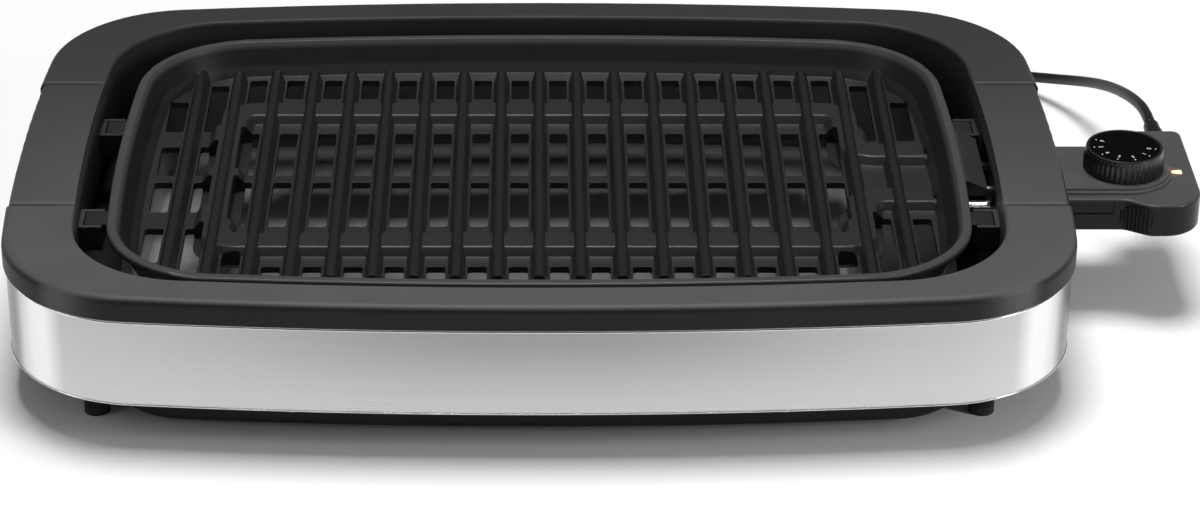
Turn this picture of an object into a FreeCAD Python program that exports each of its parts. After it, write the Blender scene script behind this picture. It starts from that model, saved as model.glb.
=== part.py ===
import FreeCAD, Part
import math
import os
import Sketcher
from FreeCAD import Placement, Rotation, Vector

# Indoor electric grill: a plastic-rimmed steel base, a drip tray, a cast ribbed plate with its
# heating element, and a plug-in control probe with a dial and a supply cord.
# Millimetres, +Z up. Sizes are measured from the middle of the base, at the counter.

# Driving sizes, by piece. Levels add up from the counter: feet, flange, band, rim.
SIZES = {
    "Base outline": {
        "body_half_width": 270.0,
        "body_half_depth": 180.0,
        "side_bow": 1400.0,
        "front_bow": 2160.0,
        "body_corner": 73.0,
    },
    "Heights": {
        "foot_height": 22.0,
        "flange_thickness": 3.0,
        "band_height": 46.3,
        "rim_height": 12.7,
    },
    "Fits": {
        "piece_gap": 0.3,
        "seat_gap": 0.3,
        "hole_gap": 0.1,
        "running_gap": 0.05,
        "overrun": 2.0,
    },
    "Rim frame": {
        "rim_width": 22.0,
        "handle_width": 35.0,
        "opening_corner": 62.0,
        "rim_round": 4.0,
        "opening_round": 2.0,
        "skirt_wall": 3.0,
        "skirt_height": 27.0,
        "boss_radius": 4.5,
        "boss_inset": 11.0,
        "boss_offset": 120.0,
        "rest_reach": 13.0,
        "rest_cheek": 2.4,
        "rest_floor": 8.0,
        "rest_gap": 0.6,
    },
    "Handles": {
        "handle_half_length": 71.0,
        "handle_height": 8.0,
        "handle_inset": 1.5,
        "handle_round": 3.5,
        "groove_round": 3.0,
        "grip_screw_offset": 45.0,
        "grip_screw_depth": 5.0,
    },
    "Steel band": {
        "band_inset": 1.5,
        "band_wall": 1.2,
        "band_lap": 0.8,
    },
    "Base pan": {
        "pan_half_width": 218.0,
        "pan_half_depth": 160.0,
        "pan_corner": 40.0,
        "pan_clearance": 5.0,
        "pan_wall": 2.5,
        "pan_round": 4.0,
        "lip_gap": 6.3,
        "lip_wall": 2.5,
        "flange_chamfer": 2.4,
    },
    "Feet": {
        "foot_offset_x": 220.0,
        "foot_offset_y": 132.0,
        "foot_radius": 7.5,
        "foot_taper": 1.0,
        "pad_height": 4.0,
    },
    "Screws": {
        "screw_radius": 1.5,
        "screw_head_radius": 3.0,
        "screw_head_height": 2.0,
        "frame_screw_length": 16.0,
    },
    "Drip tray": {
        "tray_side_gap": 6.0,
        "tray_wall": 1.5,
        "tray_lap": 3.5,
        "tray_flange": 4.0,
        "bay_half_width": 12.0,
        "bay_length": 45.5,
    },
    "Grill plate": {
        "plate_side_gap": 16.0,
        "plate_front_gap": 12.0,
        "plate_corner": 62.0,
        "plate_recess": 5.3,
        "plate_edge": 3.3,
        "plate_edge_round": 1.2,
        "plate_depth": 16.7,
        "floor_thickness": 3.5,
        "wall_top_inset": 3.0,
        "wall_foot_inset": 12.0,
        "basin_top_inset": 4.5,
        "basin_foot_inset": 15.0,
        "end_margin": 13.0,
        "rib_height": 7.0,
        "rib_top_width": 4.4,
        "rib_foot_width": 8.6,
        "rib_round": 2.4,
        "rib_end_gap": 27.0,
        "slot_width": 9.6,
        "slot_corner": 1.8,
        "slot_wall_gap": 25.0,
        "slot_front": 97.0,
        "slot_front_third": 85.0,
        "slot_front_left": 56.0,
        "slot_front_right": 45.0,
        "slot_next_end": 114.0,
        "slot_last_end": 93.0,
        "slot_middle": 54.0,
        "slot_middle_left": 38.0,
        "cross_bar": 8.0,
        "ear_centre": 53.0,
        "ear_half_width": 7.0,
        "ear_drop": 12.2,
        "ear_thickness": 5.0,
        "ear_reach": 12.0,
        "ear_root": 22.0,
    },
    "Heating element": {
        "element_radius": 4.0,
        "element_gap": 0.2,
        "element_rise": 1.0,
        "element_run": 76.0,
        "element_bend": 13.0,
        "element_end_inset": 16.0,
        "ridge_half_width": 11.0,
        "ridge_top_half_width": 7.5,
        "ridge_height": 4.5,
        "ridge_round": 2.0,
        "ridge_depth": 2.5,
        "terminal_spacing": 26.0,
        "pin_radius": 2.5,
        "pin_reach": 12.0,
        "insulator_length": 12.0,
    },
    "Terminal guard": {
        "guard_front": 20.0,
        "guard_back": 40.0,
        "guard_tongue": 2.4,
        "guard_shoulder": 4.4,
        "guard_end_height": 3.2,
        "guard_lift": 0.8,
        "guard_reach": 13.0,
    },
    "Sensor": {
        "sensor_radius": 3.0,
        "sensor_reach": 43.0,
        "saddle_wall": 2.4,
        "saddle_length": 27.0,
        "saddle_depth": 6.0,
    },
    "Control probe": {
        "probe_reach": 72.0,
        "probe_nose_inset": 32.0,
        "neck_half_width": 31.5,
        "head_front": 39.0,
        "head_back": 50.0,
        "head_length": 40.0,
        "head_slope": 12.0,
        "head_slope_round": 9.0,
        "head_front_round": 20.0,
        "head_back_round": 5.0,
        "probe_under_gap": 2.6,
        "plateau_height": 2.6,
        "plateau_half_width": 24.0,
        "step_width": 2.5,
        "step_height": 1.3,
        "deck_height": 8.5,
        "lower_height": 9.5,
        "shell_wall": 2.2,
        "shell_round": 1.6,
        "flank_depth": 0.7,
        "flank_top_gap": 2.2,
        "flank_end_gap": 6.0,
        "collar_gap": 0.8,
        "collar_wall": 3.0,
        "carrier_length": 14.0,
        "fork_wall": 1.4,
        "fork_length": 12.0,
        "fork_rise": 1.6,
        "fork_tail_width": 4.0,
        "fork_tail_height": 3.0,
        "fork_root": 8.0,
        "housing_boss_radius": 3.4,
        "boss_back_x": 26.0,
        "boss_neck_y": 22.0,
        "boss_head_x": 14.0,
        "boss_front_y": 25.0,
        "boss_rear_y": 36.0,
        "thermostat_length": 34.0,
        "thermostat_half_width": 15.0,
    },
    "Indicator": {
        "lens_inset": 9.0,
        "lens_point": 7.0,
        "lens_tail": 2.4,
        "lens_half_width": 2.6,
        "lens_depth": 3.6,
        "lens_proud": 0.2,
        "lamp_radius": 2.4,
        "lamp_length": 9.0,
    },
    "Dial": {
        "knob_inset": 37.5,
        "knob_radius": 22.0,
        "knob_top_radius": 19.7,
        "knob_height": 12.0,
        "knob_wall": 3.6,
        "knob_roof": 3.0,
        "knob_hub_radius": 6.0,
        "knob_lift": 0.4,
        "disc_radius": 18.2,
        "disc_thickness": 0.9,
        "flute_radius": 0.7,
        "shaft_radius": 3.0,
        "shaft_foot": 8.0,
    },
    "Cord": {
        "cord_diameter": 6.0,
        "relief_inset": 11.0,
        "relief_radius": 6.0,
        "relief_groove": 0.9,
        "relief_ring": 2.6,
        "relief_tip_radius": 4.2,
        "relief_length": 22.0,
        "relief_neck_radius": 5.2,
        "relief_flange_radius": 6.0,
        "relief_flange": 2.0,
        "coil_radius": 27.0,
        "coil_step": 7.6,
        "coil_layer": 6.7,
        "coil_tail": 32.0,
        "plug_length": 34.0,
        "plug_half_width": 11.5,
        "plug_round": 4.0,
        "plug_neck_length": 9.0,
        "plug_neck_radius": 5.4,
        "blade_length": 16.0,
        "blade_width": 6.4,
        "blade_thickness": 1.5,
        "blade_spacing": 12.7,
    },
}

CHANNEL_COUNT = 20
END_CHANNELS = 3
FLUTE_COUNT = 48
RELIEF_RING_COUNT = 4
COIL_IN_QUARTERS = 5
COIL_CLIMB_QUARTERS = 2

# Cord route on the right and behind the base, from the strain relief to the coil.
CORD_ROUTE = [
    (331.0, 72.0, 57.6),
    (331.0, 91.0, 57.6),
    (329.0, 115.0, 53.0),
    (325.8, 140.0, 46.2),
    (322.0, 165.0, 38.0),
    (316.0, 190.0, 28.6),
    (306.0, 213.0, 19.2),
    (291.0, 234.0, 11.0),
    (269.0, 251.5, 5.4),
    (241.0, 264.0, 3.1),
    (208.0, 271.0, 3.1),
    (172.0, 273.6, 3.1),
    (138.0, 272.9, 3.1),
    (108.0, 271.2, 3.1),
    (80.0, 271.2, 3.1),
]

doc = FreeCAD.newDocument("IndoorGrill")
sheet = doc.addObject("Spreadsheet::Sheet", "Sizes")
nodes = []


class Size:
    """A named size or a sum of them: its number now, and the sheet expression that gives it."""

    def __init__(self, value, text):
        self.value = value
        self.text = text

    def __add__(self, other):
        other = as_size(other)
        return Size(self.value + other.value, f"({self.text} + {other.text})")

    def __sub__(self, other):
        other = as_size(other)
        return Size(self.value - other.value, f"({self.text} - {other.text})")

    def __rsub__(self, other):
        return as_size(other) - self

    def __mul__(self, other):
        other = as_size(other)
        return Size(self.value * other.value, f"({self.text} * {other.text})")

    def __truediv__(self, other):
        other = as_size(other)
        return Size(self.value / other.value, f"({self.text} / {other.text})")

    def __neg__(self):
        return Size(-self.value, f"(0 - {self.text})")

    __radd__ = __add__
    __rmul__ = __mul__


def as_size(number):
    """A Size for a plain number, or the Size itself."""
    if isinstance(number, Size):
        return number
    return Size(float(number), repr(number))


def root(size):
    """The square root of a Size."""
    return Size(math.sqrt(size.value), f"sqrt({size.text})")


class Sheet:
    """The named sizes, each an attribute that knows its cell."""

    def __init__(self):
        row = 1
        for group, sizes in SIZES.items():
            sheet.set(f"A{row}", group)
            row += 1
            for name, value in sizes.items():
                sheet.set(f"A{row}", name)
                sheet.set(f"B{row}", str(value))
                sheet.setAlias(f"B{row}", name)
                setattr(self, name, Size(value, f"Sizes.{name}"))
                row += 1
        doc.recompute()


S = Sheet()


def bind(thing, prop, size):
    """Tie a property to the sheet."""
    thing.setExpression(prop, as_size(size).text)


class Outline:
    """A rectangle with bowed sides: half sizes, bow radii and corner radius."""

    def __init__(self, half_width, half_depth, side_bow, front_bow, corner):
        self.half_width = half_width
        self.half_depth = half_depth
        self.side_bow = side_bow
        self.front_bow = front_bow
        self.corner = corner

    def inset(self, step):
        """The parallel outline, smaller all round by step."""
        return Outline(
            self.half_width - step,
            self.half_depth - step,
            self.side_bow - step,
            self.front_bow - step,
            self.corner - step,
        )

    def depth_at(self, x):
        """Half depth at the place x along the width."""
        bow = self.front_bow
        return self.half_depth - bow + root(bow * bow - x * x)

    def corner_centre(self):
        """Centre of the corner arc that touches both bows."""
        side = Vector((self.half_width - self.side_bow).value, 0, 0)
        front = Vector(0, (self.half_depth - self.front_bow).value, 0)
        side_reach = (self.side_bow - self.corner).value
        front_reach = (self.front_bow - self.corner).value
        apart = side.distanceToPoint(front)
        along = (side_reach**2 - front_reach**2 + apart**2) / (2 * apart)
        across = math.sqrt(side_reach**2 - along**2)
        way = (front - side).normalize()
        return side + way * along + Vector(-way.y, way.x, 0) * across


def angle_of(point, centre):
    """Direction from a centre to a point, in radians."""
    return math.atan2(point.y - centre.y, point.x - centre.x)


class Drawing:
    """A sketch of a body, on one of its origin planes, with every size bound to the sheet."""

    def __init__(self, body, name, plane="XY_Plane", lift=0):
        self.sketch = body.newObject("Sketcher::SketchObject", name)
        support = [f for f in body.Origin.OriginFeatures if f.Role == plane][0]
        self.sketch.AttachmentSupport = (support, [""])
        self.sketch.MapMode = "FlatFace"
        bind(self.sketch, "AttachmentOffset.Base.z", lift)
        self.rules = []

    def rule(self, size, *terms):
        """Keep a constraint, with its Size if it has one, until the drawing is whole."""
        number = [] if size is None else [as_size(size).value]
        self.rules.append((Sketcher.Constraint(*terms, *number), size))

    def settled(self):
        """The sketch, with the kept constraints added and their sizes bound."""
        self.sketch.addConstraint([rule for rule, size in self.rules])
        for index, (rule, size) in enumerate(self.rules):
            if isinstance(size, Size):
                bind(self.sketch, f"Constraints[{index}]", size)
        return self.sketch

    def place(self, thing, vertex, x, y):
        """Fix a vertex at x, y from the origin."""
        self.rule(x, "DistanceX", -1, 1, thing, vertex)
        self.rule(y, "DistanceY", -1, 1, thing, vertex)

    def circle(self, x, y, radius):
        """A circle round x, y."""
        x, y, radius = as_size(x), as_size(y), as_size(radius)
        centre = Vector(x.value, y.value, 0)
        ring = self.sketch.addGeometry(Part.Circle(centre, Vector(0, 0, 1), radius.value))
        self.place(ring, 3, x, y)
        self.rule(radius, "Radius", ring)

    def rectangle(self, x0, x1, y0, y1, radius=None):
        """A rectangle, with round corners if a radius is given."""
        self.chain([(x0, y0), (x1, y0), (x1, y1), (x0, y1)], radius)

    def chain(self, points, radius=None, closed=True):
        """Lines through the points, each a pair of sizes or a pair and its own corner radius."""
        rows = [(as_size(p[0]), as_size(p[1]), p[2] if len(p) > 2 else radius) for p in points]
        spots = [Vector(x.value, y.value, 0) for x, y, r in rows]
        count = len(rows)
        arcs = {}
        for i, (x, y, r) in enumerate(rows):
            inner = closed or 0 < i < count - 1
            if r is not None and inner:
                arcs[i] = self.corner(spots[i - 1], spots[i], spots[(i + 1) % count], r)
        lines = []
        for i in range(count if closed else count - 1):
            after = (i + 1) % count
            start = arcs[i]["end"] if i in arcs else spots[i]
            end = arcs[after]["start"] if after in arcs else spots[after]
            lines.append(self.sketch.addGeometry(Part.LineSegment(start, end)))
        for i, (x, y, r) in enumerate(rows):
            before, after = lines[i - 1], lines[i % len(lines)]
            if i in arcs:
                arc = arcs[i]
                peg = self.sketch.addGeometry(Part.Point(spots[i]), True)
                self.rule(None, "Tangent", before, 2, arc["thing"], arc["first"])
                self.rule(None, "Tangent", arc["thing"], arc["last"], after, 1)
                self.rule(None, "PointOnObject", peg, 1, before)
                self.rule(None, "PointOnObject", peg, 1, after)
                self.rule(r, "Radius", arc["thing"])
                self.place(peg, 1, x, y)
            elif not closed and i == count - 1:
                self.place(lines[-1], 2, x, y)
            else:
                if closed or i > 0:
                    self.rule(None, "Coincident", before, 2, after, 1)
                self.place(after, 1, x, y)

    def corner(self, before, here, after, radius):
        """An arc that rounds one corner, with its ends in the order of the chain."""
        back = (before - here).normalize()
        ahead = (after - here).normalize()
        half = back.getAngle(ahead) / 2
        reach = radius.value / math.tan(half)
        start = here + back * reach
        end = here + ahead * reach
        centre = here + (back + ahead).normalize() * (radius.value / math.sin(half))
        left_turn = back.cross(ahead).z < 0
        ends = (start, end) if left_turn else (end, start)
        ring = Part.Circle(centre, Vector(0, 0, 1), radius.value)
        arc = Part.ArcOfCircle(ring, angle_of(ends[0], centre), angle_of(ends[1], centre))
        first, last = (1, 2) if left_turn else (2, 1)
        thing = self.sketch.addGeometry(arc)
        return {"thing": thing, "start": start, "end": end, "first": first, "last": last}

    def bowed(self, outline):
        """A bowed outline: four long arcs and four corner arcs, tangent all round."""
        centre = outline.corner_centre()
        side = outline.half_width - outline.side_bow
        front = outline.half_depth - outline.front_bow
        low = angle_of(centre, Vector(side.value, 0, 0))
        high = angle_of(centre, Vector(0, front.value, 0))
        turns = [-low, low, high, math.pi - high, math.pi - low, math.pi + low]
        turns += [math.pi + high, 2 * math.pi - high, 2 * math.pi - low]
        middles = [
            (side.value, 0),
            (centre.x, centre.y),
            (0, front.value),
            (-centre.x, centre.y),
            (-side.value, 0),
            (-centre.x, -centre.y),
            (0, -front.value),
            (centre.x, -centre.y),
        ]
        radii = [outline.side_bow, outline.corner, outline.front_bow, outline.corner] * 2
        arcs = []
        for i, (x, y) in enumerate(middles):
            ring = Part.Circle(Vector(x, y, 0), Vector(0, 0, 1), radii[i].value)
            arcs.append(self.sketch.addGeometry(Part.ArcOfCircle(ring, turns[i], turns[i + 1])))
        for i, arc in enumerate(arcs):
            self.rule(None, "Tangent", arc, 2, arcs[(i + 1) % len(arcs)], 1)
            self.rule(radii[i], "Radius", arc)
        for arc, place in ((arcs[0], side), (arcs[4], -side)):
            self.rule(None, "PointOnObject", arc, 3, -1)
            self.rule(place, "DistanceX", -1, 1, arc, 3)
        for arc, place in ((arcs[2], front), (arcs[6], -front)):
            self.rule(None, "PointOnObject", arc, 3, -2)
            self.rule(place, "DistanceY", -1, 1, arc, 3)


def new_body(label):
    """An empty body for one piece."""
    return doc.addObject("PartDesign::Body", label)


def pad(body, drawing, length, midplane=False, reverse=False):
    """Raise a drawing into a solid."""
    feature = body.newObject("PartDesign::Pad", drawing.sketch.Name + "Pad")
    feature.Profile = drawing.settled()
    feature.Midplane = midplane
    feature.Reversed = reverse
    bind(feature, "Length", length)
    return feature


def pocket(body, drawing, length, midplane=False, reverse=False):
    """Cut a drawing out of the solid, against the drawing's normal, and see that it cut."""
    doc.recompute()
    before = body.Shape.Volume
    feature = body.newObject("PartDesign::Pocket", drawing.sketch.Name + "Cut")
    feature.Profile = drawing.settled()
    feature.Midplane = midplane
    feature.Reversed = reverse
    bind(feature, "Length", length)
    doc.recompute()
    if not body.Shape.Volume < before:
        raise RuntimeError(f"{feature.Name} cuts nothing")
    return feature


def loft(body, kind, lower, upper):
    """A ruled loft from one drawing to another."""
    feature = body.newObject(f"PartDesign::{kind}", lower.sketch.Name + "Loft")
    feature.Profile = lower.settled()
    feature.Sections = [upper.settled()]
    feature.Ruled = True
    return feature


def sweep(body, kind, profile, path):
    """A profile carried along a path."""
    feature = body.newObject(f"PartDesign::{kind}", profile.sketch.Name + "Pipe")
    feature.Profile = profile.settled()
    feature.Spine = path.settled()
    return feature


def revolve(body, drawing):
    """A full turn round the drawing's upright axis."""
    feature = body.newObject("PartDesign::Revolution", drawing.sketch.Name + "Turn")
    feature.Profile = drawing.settled()
    feature.ReferenceAxis = (drawing.sketch, ["V_Axis"])
    feature.Angle = 360
    return feature


def edges_where(shape, test):
    """Names of the edges whose every sampled point passes a test."""
    names = []
    for i, edge in enumerate(shape.Edges):
        points = edge.discretize(5)
        if all(test(point) for point in points):
            names.append(f"Edge{i + 1}")
    return names


def soften(body, kind, size, test):
    """Fillet or chamfer the edges of the body so far that pass a test."""
    doc.recompute()
    tip = body.Tip
    names = edges_where(tip.Shape, test)
    if not names:
        raise RuntimeError(f"no edge to soften on {body.Name}")
    feature = body.newObject(f"PartDesign::{kind}", f"{tip.Name}{kind}")
    feature.Base = (tip, names)
    bind(feature, "Radius" if kind == "Fillet" else "Size", size)
    return feature


def at_level(level):
    """A test for points at a height."""
    return lambda point: abs(point.z - level.value) < 1e-4


def pattern(body, feature, kind, **settings):
    """Repeat a feature of the body along an origin axis."""
    doc.recompute()
    repeat = body.newObject(f"PartDesign::{kind}", feature.Name + "Pattern")
    repeat.Originals = [feature]
    for name, value in settings.items():
        setattr(repeat, name, value)
    body.Tip = repeat
    return repeat


def axis_of(body, role):
    """An origin axis of a body, as a pattern's direction."""
    return ([f for f in body.Origin.OriginFeatures if f.Role == role][0], [""])


def box(name, x0, x1, y0, y1, z0, z1):
    """A block between six faces."""
    block = doc.addObject("Part::Box", name)
    for prop, low, high in (("Length", x0, x1), ("Width", y0, y1), ("Height", z0, z1)):
        bind(block, prop, as_size(high) - low)
    bind_place(block, x0, y0, z0)
    return block


UPRIGHT = Rotation()
ALONG_X = Rotation(Vector(0, 1, 0), 90)
ALONG_Y = Rotation(Vector(1, 0, 0), -90)


def rod(name, x, y, z, radius, length, turn=UPRIGHT):
    """A cylinder from a point along its turned axis."""
    bar = doc.addObject("Part::Cylinder", name)
    bind(bar, "Radius", radius)
    bind(bar, "Height", length)
    bar.Placement = Placement(Vector(), turn)
    bind_place(bar, x, y, z)
    return bar


def bind_place(thing, x, y, z):
    """Tie an object's place to the sheet."""
    for letter, size in zip("xyz", (x, y, z)):
        bind(thing, f"Placement.Base.{letter}", size)


def cut(name, base, tool):
    """One object less another."""
    result = doc.addObject("Part::Cut", name)
    result.Base = base
    result.Tool = tool
    return result


def fuse(name, things):
    """Objects joined into one solid."""
    result = doc.addObject("Part::MultiFuse", name)
    result.Shapes = things
    return result


def group(name, things):
    """Separate solids of one kind, kept together."""
    result = doc.addObject("Part::Compound", name)
    result.Links = things
    return result


def screw(name, x, y, z, length):
    """A screw from below: its head hangs under z and its shank rises by length."""
    head = rod(name + "Head", x, y, z - S.screw_head_height, S.screw_head_radius, S.screw_head_height)
    shank = rod(name + "Shank", x, y, z - S.screw_head_height, S.screw_radius, length + S.screw_head_height)
    return fuse(name, [head, shank])


def keep(label, thing, x=0, y=0, z=0, turn=UPRIGHT):
    """Register a finished piece at its place, with the whole object centred over the counter point."""
    thing.Label = label
    thing.Placement = Placement(Vector(), turn)
    bind_place(thing, as_size(x) - S.probe_reach / 2, y, z)
    nodes.append(thing)


def in_order(*sizes):
    """The sizes from the least to the greatest."""
    return sorted(sizes, key=lambda size: size.value)


def on_both(*places):
    """Each place and its mirror across the width and the depth."""
    return [(sx * x, sy * y) for x, y in places for sx in (1, -1) for sy in (1, -1)]


# Levels and outlines that several pieces share.
flange_base = S.foot_height
flange_top = flange_base + S.flange_thickness
rim_base = flange_top + S.band_height
rim_top = rim_base + S.rim_height
seat_level = rim_top - S.handle_height
skirt_base = rim_base - S.skirt_height

body_outline = Outline(S.body_half_width, S.body_half_depth, S.side_bow, S.front_bow, S.body_corner)
opening = Outline(
    S.body_half_width - S.handle_width,
    S.body_half_depth - S.rim_width,
    S.side_bow - S.handle_width,
    S.front_bow - S.rim_width,
    S.opening_corner,
)
pan_outline = Outline(S.pan_half_width, S.pan_half_depth, S.side_bow, S.front_bow, S.pan_corner)
tray_outline = pan_outline.inset(S.pan_wall + S.tray_side_gap)
plate_outline = Outline(
    opening.half_width - S.plate_side_gap,
    opening.half_depth - S.plate_front_gap,
    opening.side_bow - S.plate_side_gap,
    opening.front_bow - S.plate_front_gap,
    S.plate_corner,
)

plate_top = rim_top - S.plate_recess
plate_under = plate_top - S.plate_edge
plate_floor = plate_top - S.plate_depth
plate_bottom = plate_floor - S.floor_thickness
ear_top = plate_top - S.ear_drop
ear_base = ear_top - S.ear_thickness
ear_end = plate_outline.half_width + S.ear_reach
pin_end = plate_outline.half_width + S.pin_reach
element_level = plate_bottom + S.element_rise
element_end = plate_outline.half_width - S.element_end_inset

probe_end = S.body_half_width + S.probe_reach
probe_nose = S.body_half_width - S.probe_nose_inset
plateau_top = rim_base - S.probe_under_gap
deck_top = plateau_top - S.plateau_height
split_level = deck_top - S.deck_height
probe_base = split_level - S.lower_height
knob_x = probe_end - S.knob_inset
collar_inner = S.neck_half_width + S.collar_gap
collar_outer = collar_inner + S.collar_wall
collar_floor = probe_base - S.collar_gap
collar_base = collar_floor - S.collar_wall
sensor_level = plate_bottom - S.seat_gap - S.sensor_radius

boss_places = [(S.boss_offset, body_outline.inset(S.boss_inset).depth_at(S.boss_offset))]
grip_screw_x = S.body_half_width - S.handle_width / 2


def rounded_end(drawing, side, way):
    """What rounds the upper edge at an end of a grip: way is 1 on the rim and -1 on the grip."""
    reach = S.groove_round + S.piece_gap
    end = side * S.handle_half_length
    inner = end + side * way * reach
    outer = end - side * way * S.overrun
    drawing.chain(
        [
            (outer, rim_top - reach),
            (end, rim_top - reach),
            (end, rim_top, S.groove_round),
            (inner, rim_top),
            (inner, rim_top + S.overrun),
            (outer, rim_top + S.overrun),
        ]
    )


def rim_frame():
    """Rim slab, skirt, screw bosses and plate rests, with seats for the handles."""
    body = new_body("RimFrame")
    slab = Drawing(body, "RimSlab", lift=rim_base)
    slab.bowed(body_outline)
    pad(body, slab, S.rim_height)
    soften(body, "Fillet", S.rim_round, at_level(rim_top))
    skirt = Drawing(body, "RimSkirt", lift=skirt_base)
    skirt.bowed(opening.inset(-S.skirt_wall))
    pad(body, skirt, S.skirt_height)
    hole = Drawing(body, "RimOpening", lift=rim_top)
    hole.bowed(opening)
    pocket(body, hole, S.rim_height + S.skirt_height)
    soften(body, "Fillet", S.opening_round, inner_top_edge)
    seats = Drawing(body, "HandleSeats", lift=rim_top)
    reach = S.body_half_width + S.overrun
    inner = opening.half_width - S.overrun
    length = S.handle_half_length
    seats.rectangle(inner - S.overrun, reach, -length, length)
    seats.rectangle(-reach, S.overrun - inner, -length, length)
    pocket(body, seats, S.handle_height)
    grooves = Drawing(body, "RimGrooves", plane="YZ_Plane")
    for side in (1, -1):
        rounded_end(grooves, side, 1)
    pocket(body, grooves, 2 * (S.body_half_width + S.overrun), midplane=True)
    rests = Drawing(body, "PlateRests", lift=ear_base - S.seat_gap - S.rest_floor)
    pockets = Drawing(body, "RestPockets", lift=ear_top)
    outer = opening.half_width + S.skirt_wall / 2
    near = opening.half_width - S.rest_reach
    half = S.ear_half_width + S.rest_gap
    for side in (1, -1):
        for end in (1, -1):
            middle = end * S.ear_centre
            block = in_order(side * near, side * outer)
            hollow = in_order(side * (near - S.overrun), side * (ear_end + S.rest_gap))
            rests.rectangle(*block, middle - half - S.rest_cheek, middle + half + S.rest_cheek)
            pockets.rectangle(*hollow, middle - half, middle + half)
    pad(body, rests, S.rest_floor + S.seat_gap + S.ear_thickness)
    pocket(body, pockets, S.ear_thickness + S.seat_gap)
    bosses = Drawing(body, "FrameBosses", lift=flange_top)
    for x, y in on_both(*boss_places):
        bosses.circle(x, y, S.boss_radius)
    pad(body, bosses, S.band_height)
    holes = Drawing(body, "ScrewHoles", lift=flange_top)
    for x, y in on_both(*boss_places):
        holes.circle(x, y, S.screw_radius + S.hole_gap)
    pocket(body, holes, S.frame_screw_length, reverse=True)
    grips = Drawing(body, "GripHoles", lift=seat_level)
    for x, y in on_both((grip_screw_x, S.grip_screw_offset)):
        grips.circle(x, y, S.screw_radius + S.hole_gap)
    pocket(body, grips, S.rim_height)
    door = Drawing(body, "ProbeDoor", plane="YZ_Plane", lift=opening.half_width - S.skirt_wall)
    door_half = collar_outer + S.piece_gap
    door.rectangle(-door_half, door_half, skirt_base - S.overrun, rim_base)
    pocket(body, door, S.handle_width, reverse=True)
    keep("rim_frame", body)


def inner_top_edge(point):
    """True on the rim's upper inner edge."""
    on_top = abs(point.z - rim_top.value) < 1e-4
    inside = abs(point.x) < opening.half_width.value + 1e-3
    return on_top and inside and abs(point.y) < opening.half_depth.value + 1e-3


def handle_outline(drawing, inset):
    """A grip between its two grooves: the side bow outside and the opening inside."""
    outer = body_outline.inset(inset)
    half = S.handle_half_length
    bows = [(outer.half_width, outer.side_bow), (opening.half_width, opening.side_bow)]
    arcs = []
    corners = []
    for width, bow in bows:
        middle = (width - bow).value
        turn = math.asin(half.value / bow.value)
        ring = Part.Circle(Vector(middle, 0, 0), Vector(0, 0, 1), bow.value)
        arc = drawing.sketch.addGeometry(Part.ArcOfCircle(ring, -turn, turn))
        drawing.rule(None, "PointOnObject", arc, 3, -1)
        drawing.rule(width - bow, "DistanceX", -1, 1, arc, 3)
        drawing.rule(bow, "Radius", arc)
        arcs.append(arc)
        corners.append(middle + bow.value * math.cos(turn))
    for vertex, level in ((1, -half), (2, half)):
        start = Vector(corners[0], level.value, 0)
        end = Vector(corners[1], level.value, 0)
        line = drawing.sketch.addGeometry(Part.LineSegment(start, end))
        drawing.rule(None, "Coincident", line, 1, arcs[0], vertex)
        drawing.rule(None, "Coincident", line, 2, arcs[1], vertex)
        drawing.rule(None, "Horizontal", line)
        drawing.rule(level, "DistanceY", -1, 1, line, 1)


def handles():
    """The two side grips; the left one mirrors the right one."""
    body = new_body("RightHandle")
    block = Drawing(body, "GripBlock", lift=seat_level)
    handle_outline(block, S.handle_inset)
    pad(body, block, S.handle_height)
    outer = (S.body_half_width - S.handle_inset).value
    ends = S.handle_half_length.value

    def outer_edge(point):
        return abs(point.z - rim_top.value) < 1e-4 and point.x > outer - S.handle_width.value / 2

    soften(body, "Fillet", S.handle_round, lambda p: outer_edge(p) and abs(p.y) < ends + 1e-3)
    groove = Drawing(body, "GripGrooves", plane="YZ_Plane")
    for side in (1, -1):
        rounded_end(groove, side, -1)
    pocket(body, groove, S.body_half_width + S.overrun, reverse=True)
    holes = Drawing(body, "GripScrewHoles", lift=seat_level)
    for side in (1, -1):
        holes.circle(grip_screw_x, side * S.grip_screw_offset, S.screw_radius + S.hole_gap)
    pocket(body, holes, S.grip_screw_depth + S.seat_gap, reverse=True)
    keep("right_handle", body)
    mirror = doc.addObject("Part::Mirroring", "LeftHandle")
    mirror.Source = body
    mirror.Normal = (1, 0, 0)
    bind(mirror, "Base.x", -S.probe_reach / 2)
    mirror.Label = "left_handle"
    nodes.append(mirror)


def steel_band():
    """The sheet wall all round, open at the right for the probe."""
    body = new_body("SteelBand")
    wall = Drawing(body, "BandWall", lift=flange_top - S.band_lap)
    wall.bowed(body_outline.inset(S.band_inset))
    wall.bowed(body_outline.inset(S.band_inset + S.band_wall))
    pad(body, wall, S.band_height + S.band_lap)
    door = Drawing(body, "BandDoor", plane="YZ_Plane", lift=opening.half_width)
    half = collar_outer + S.piece_gap
    door.rectangle(-half, half, collar_base - S.piece_gap, rim_base + S.overrun)
    pocket(body, door, S.handle_width + S.overrun, reverse=True)
    keep("steel_band", body)


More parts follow.
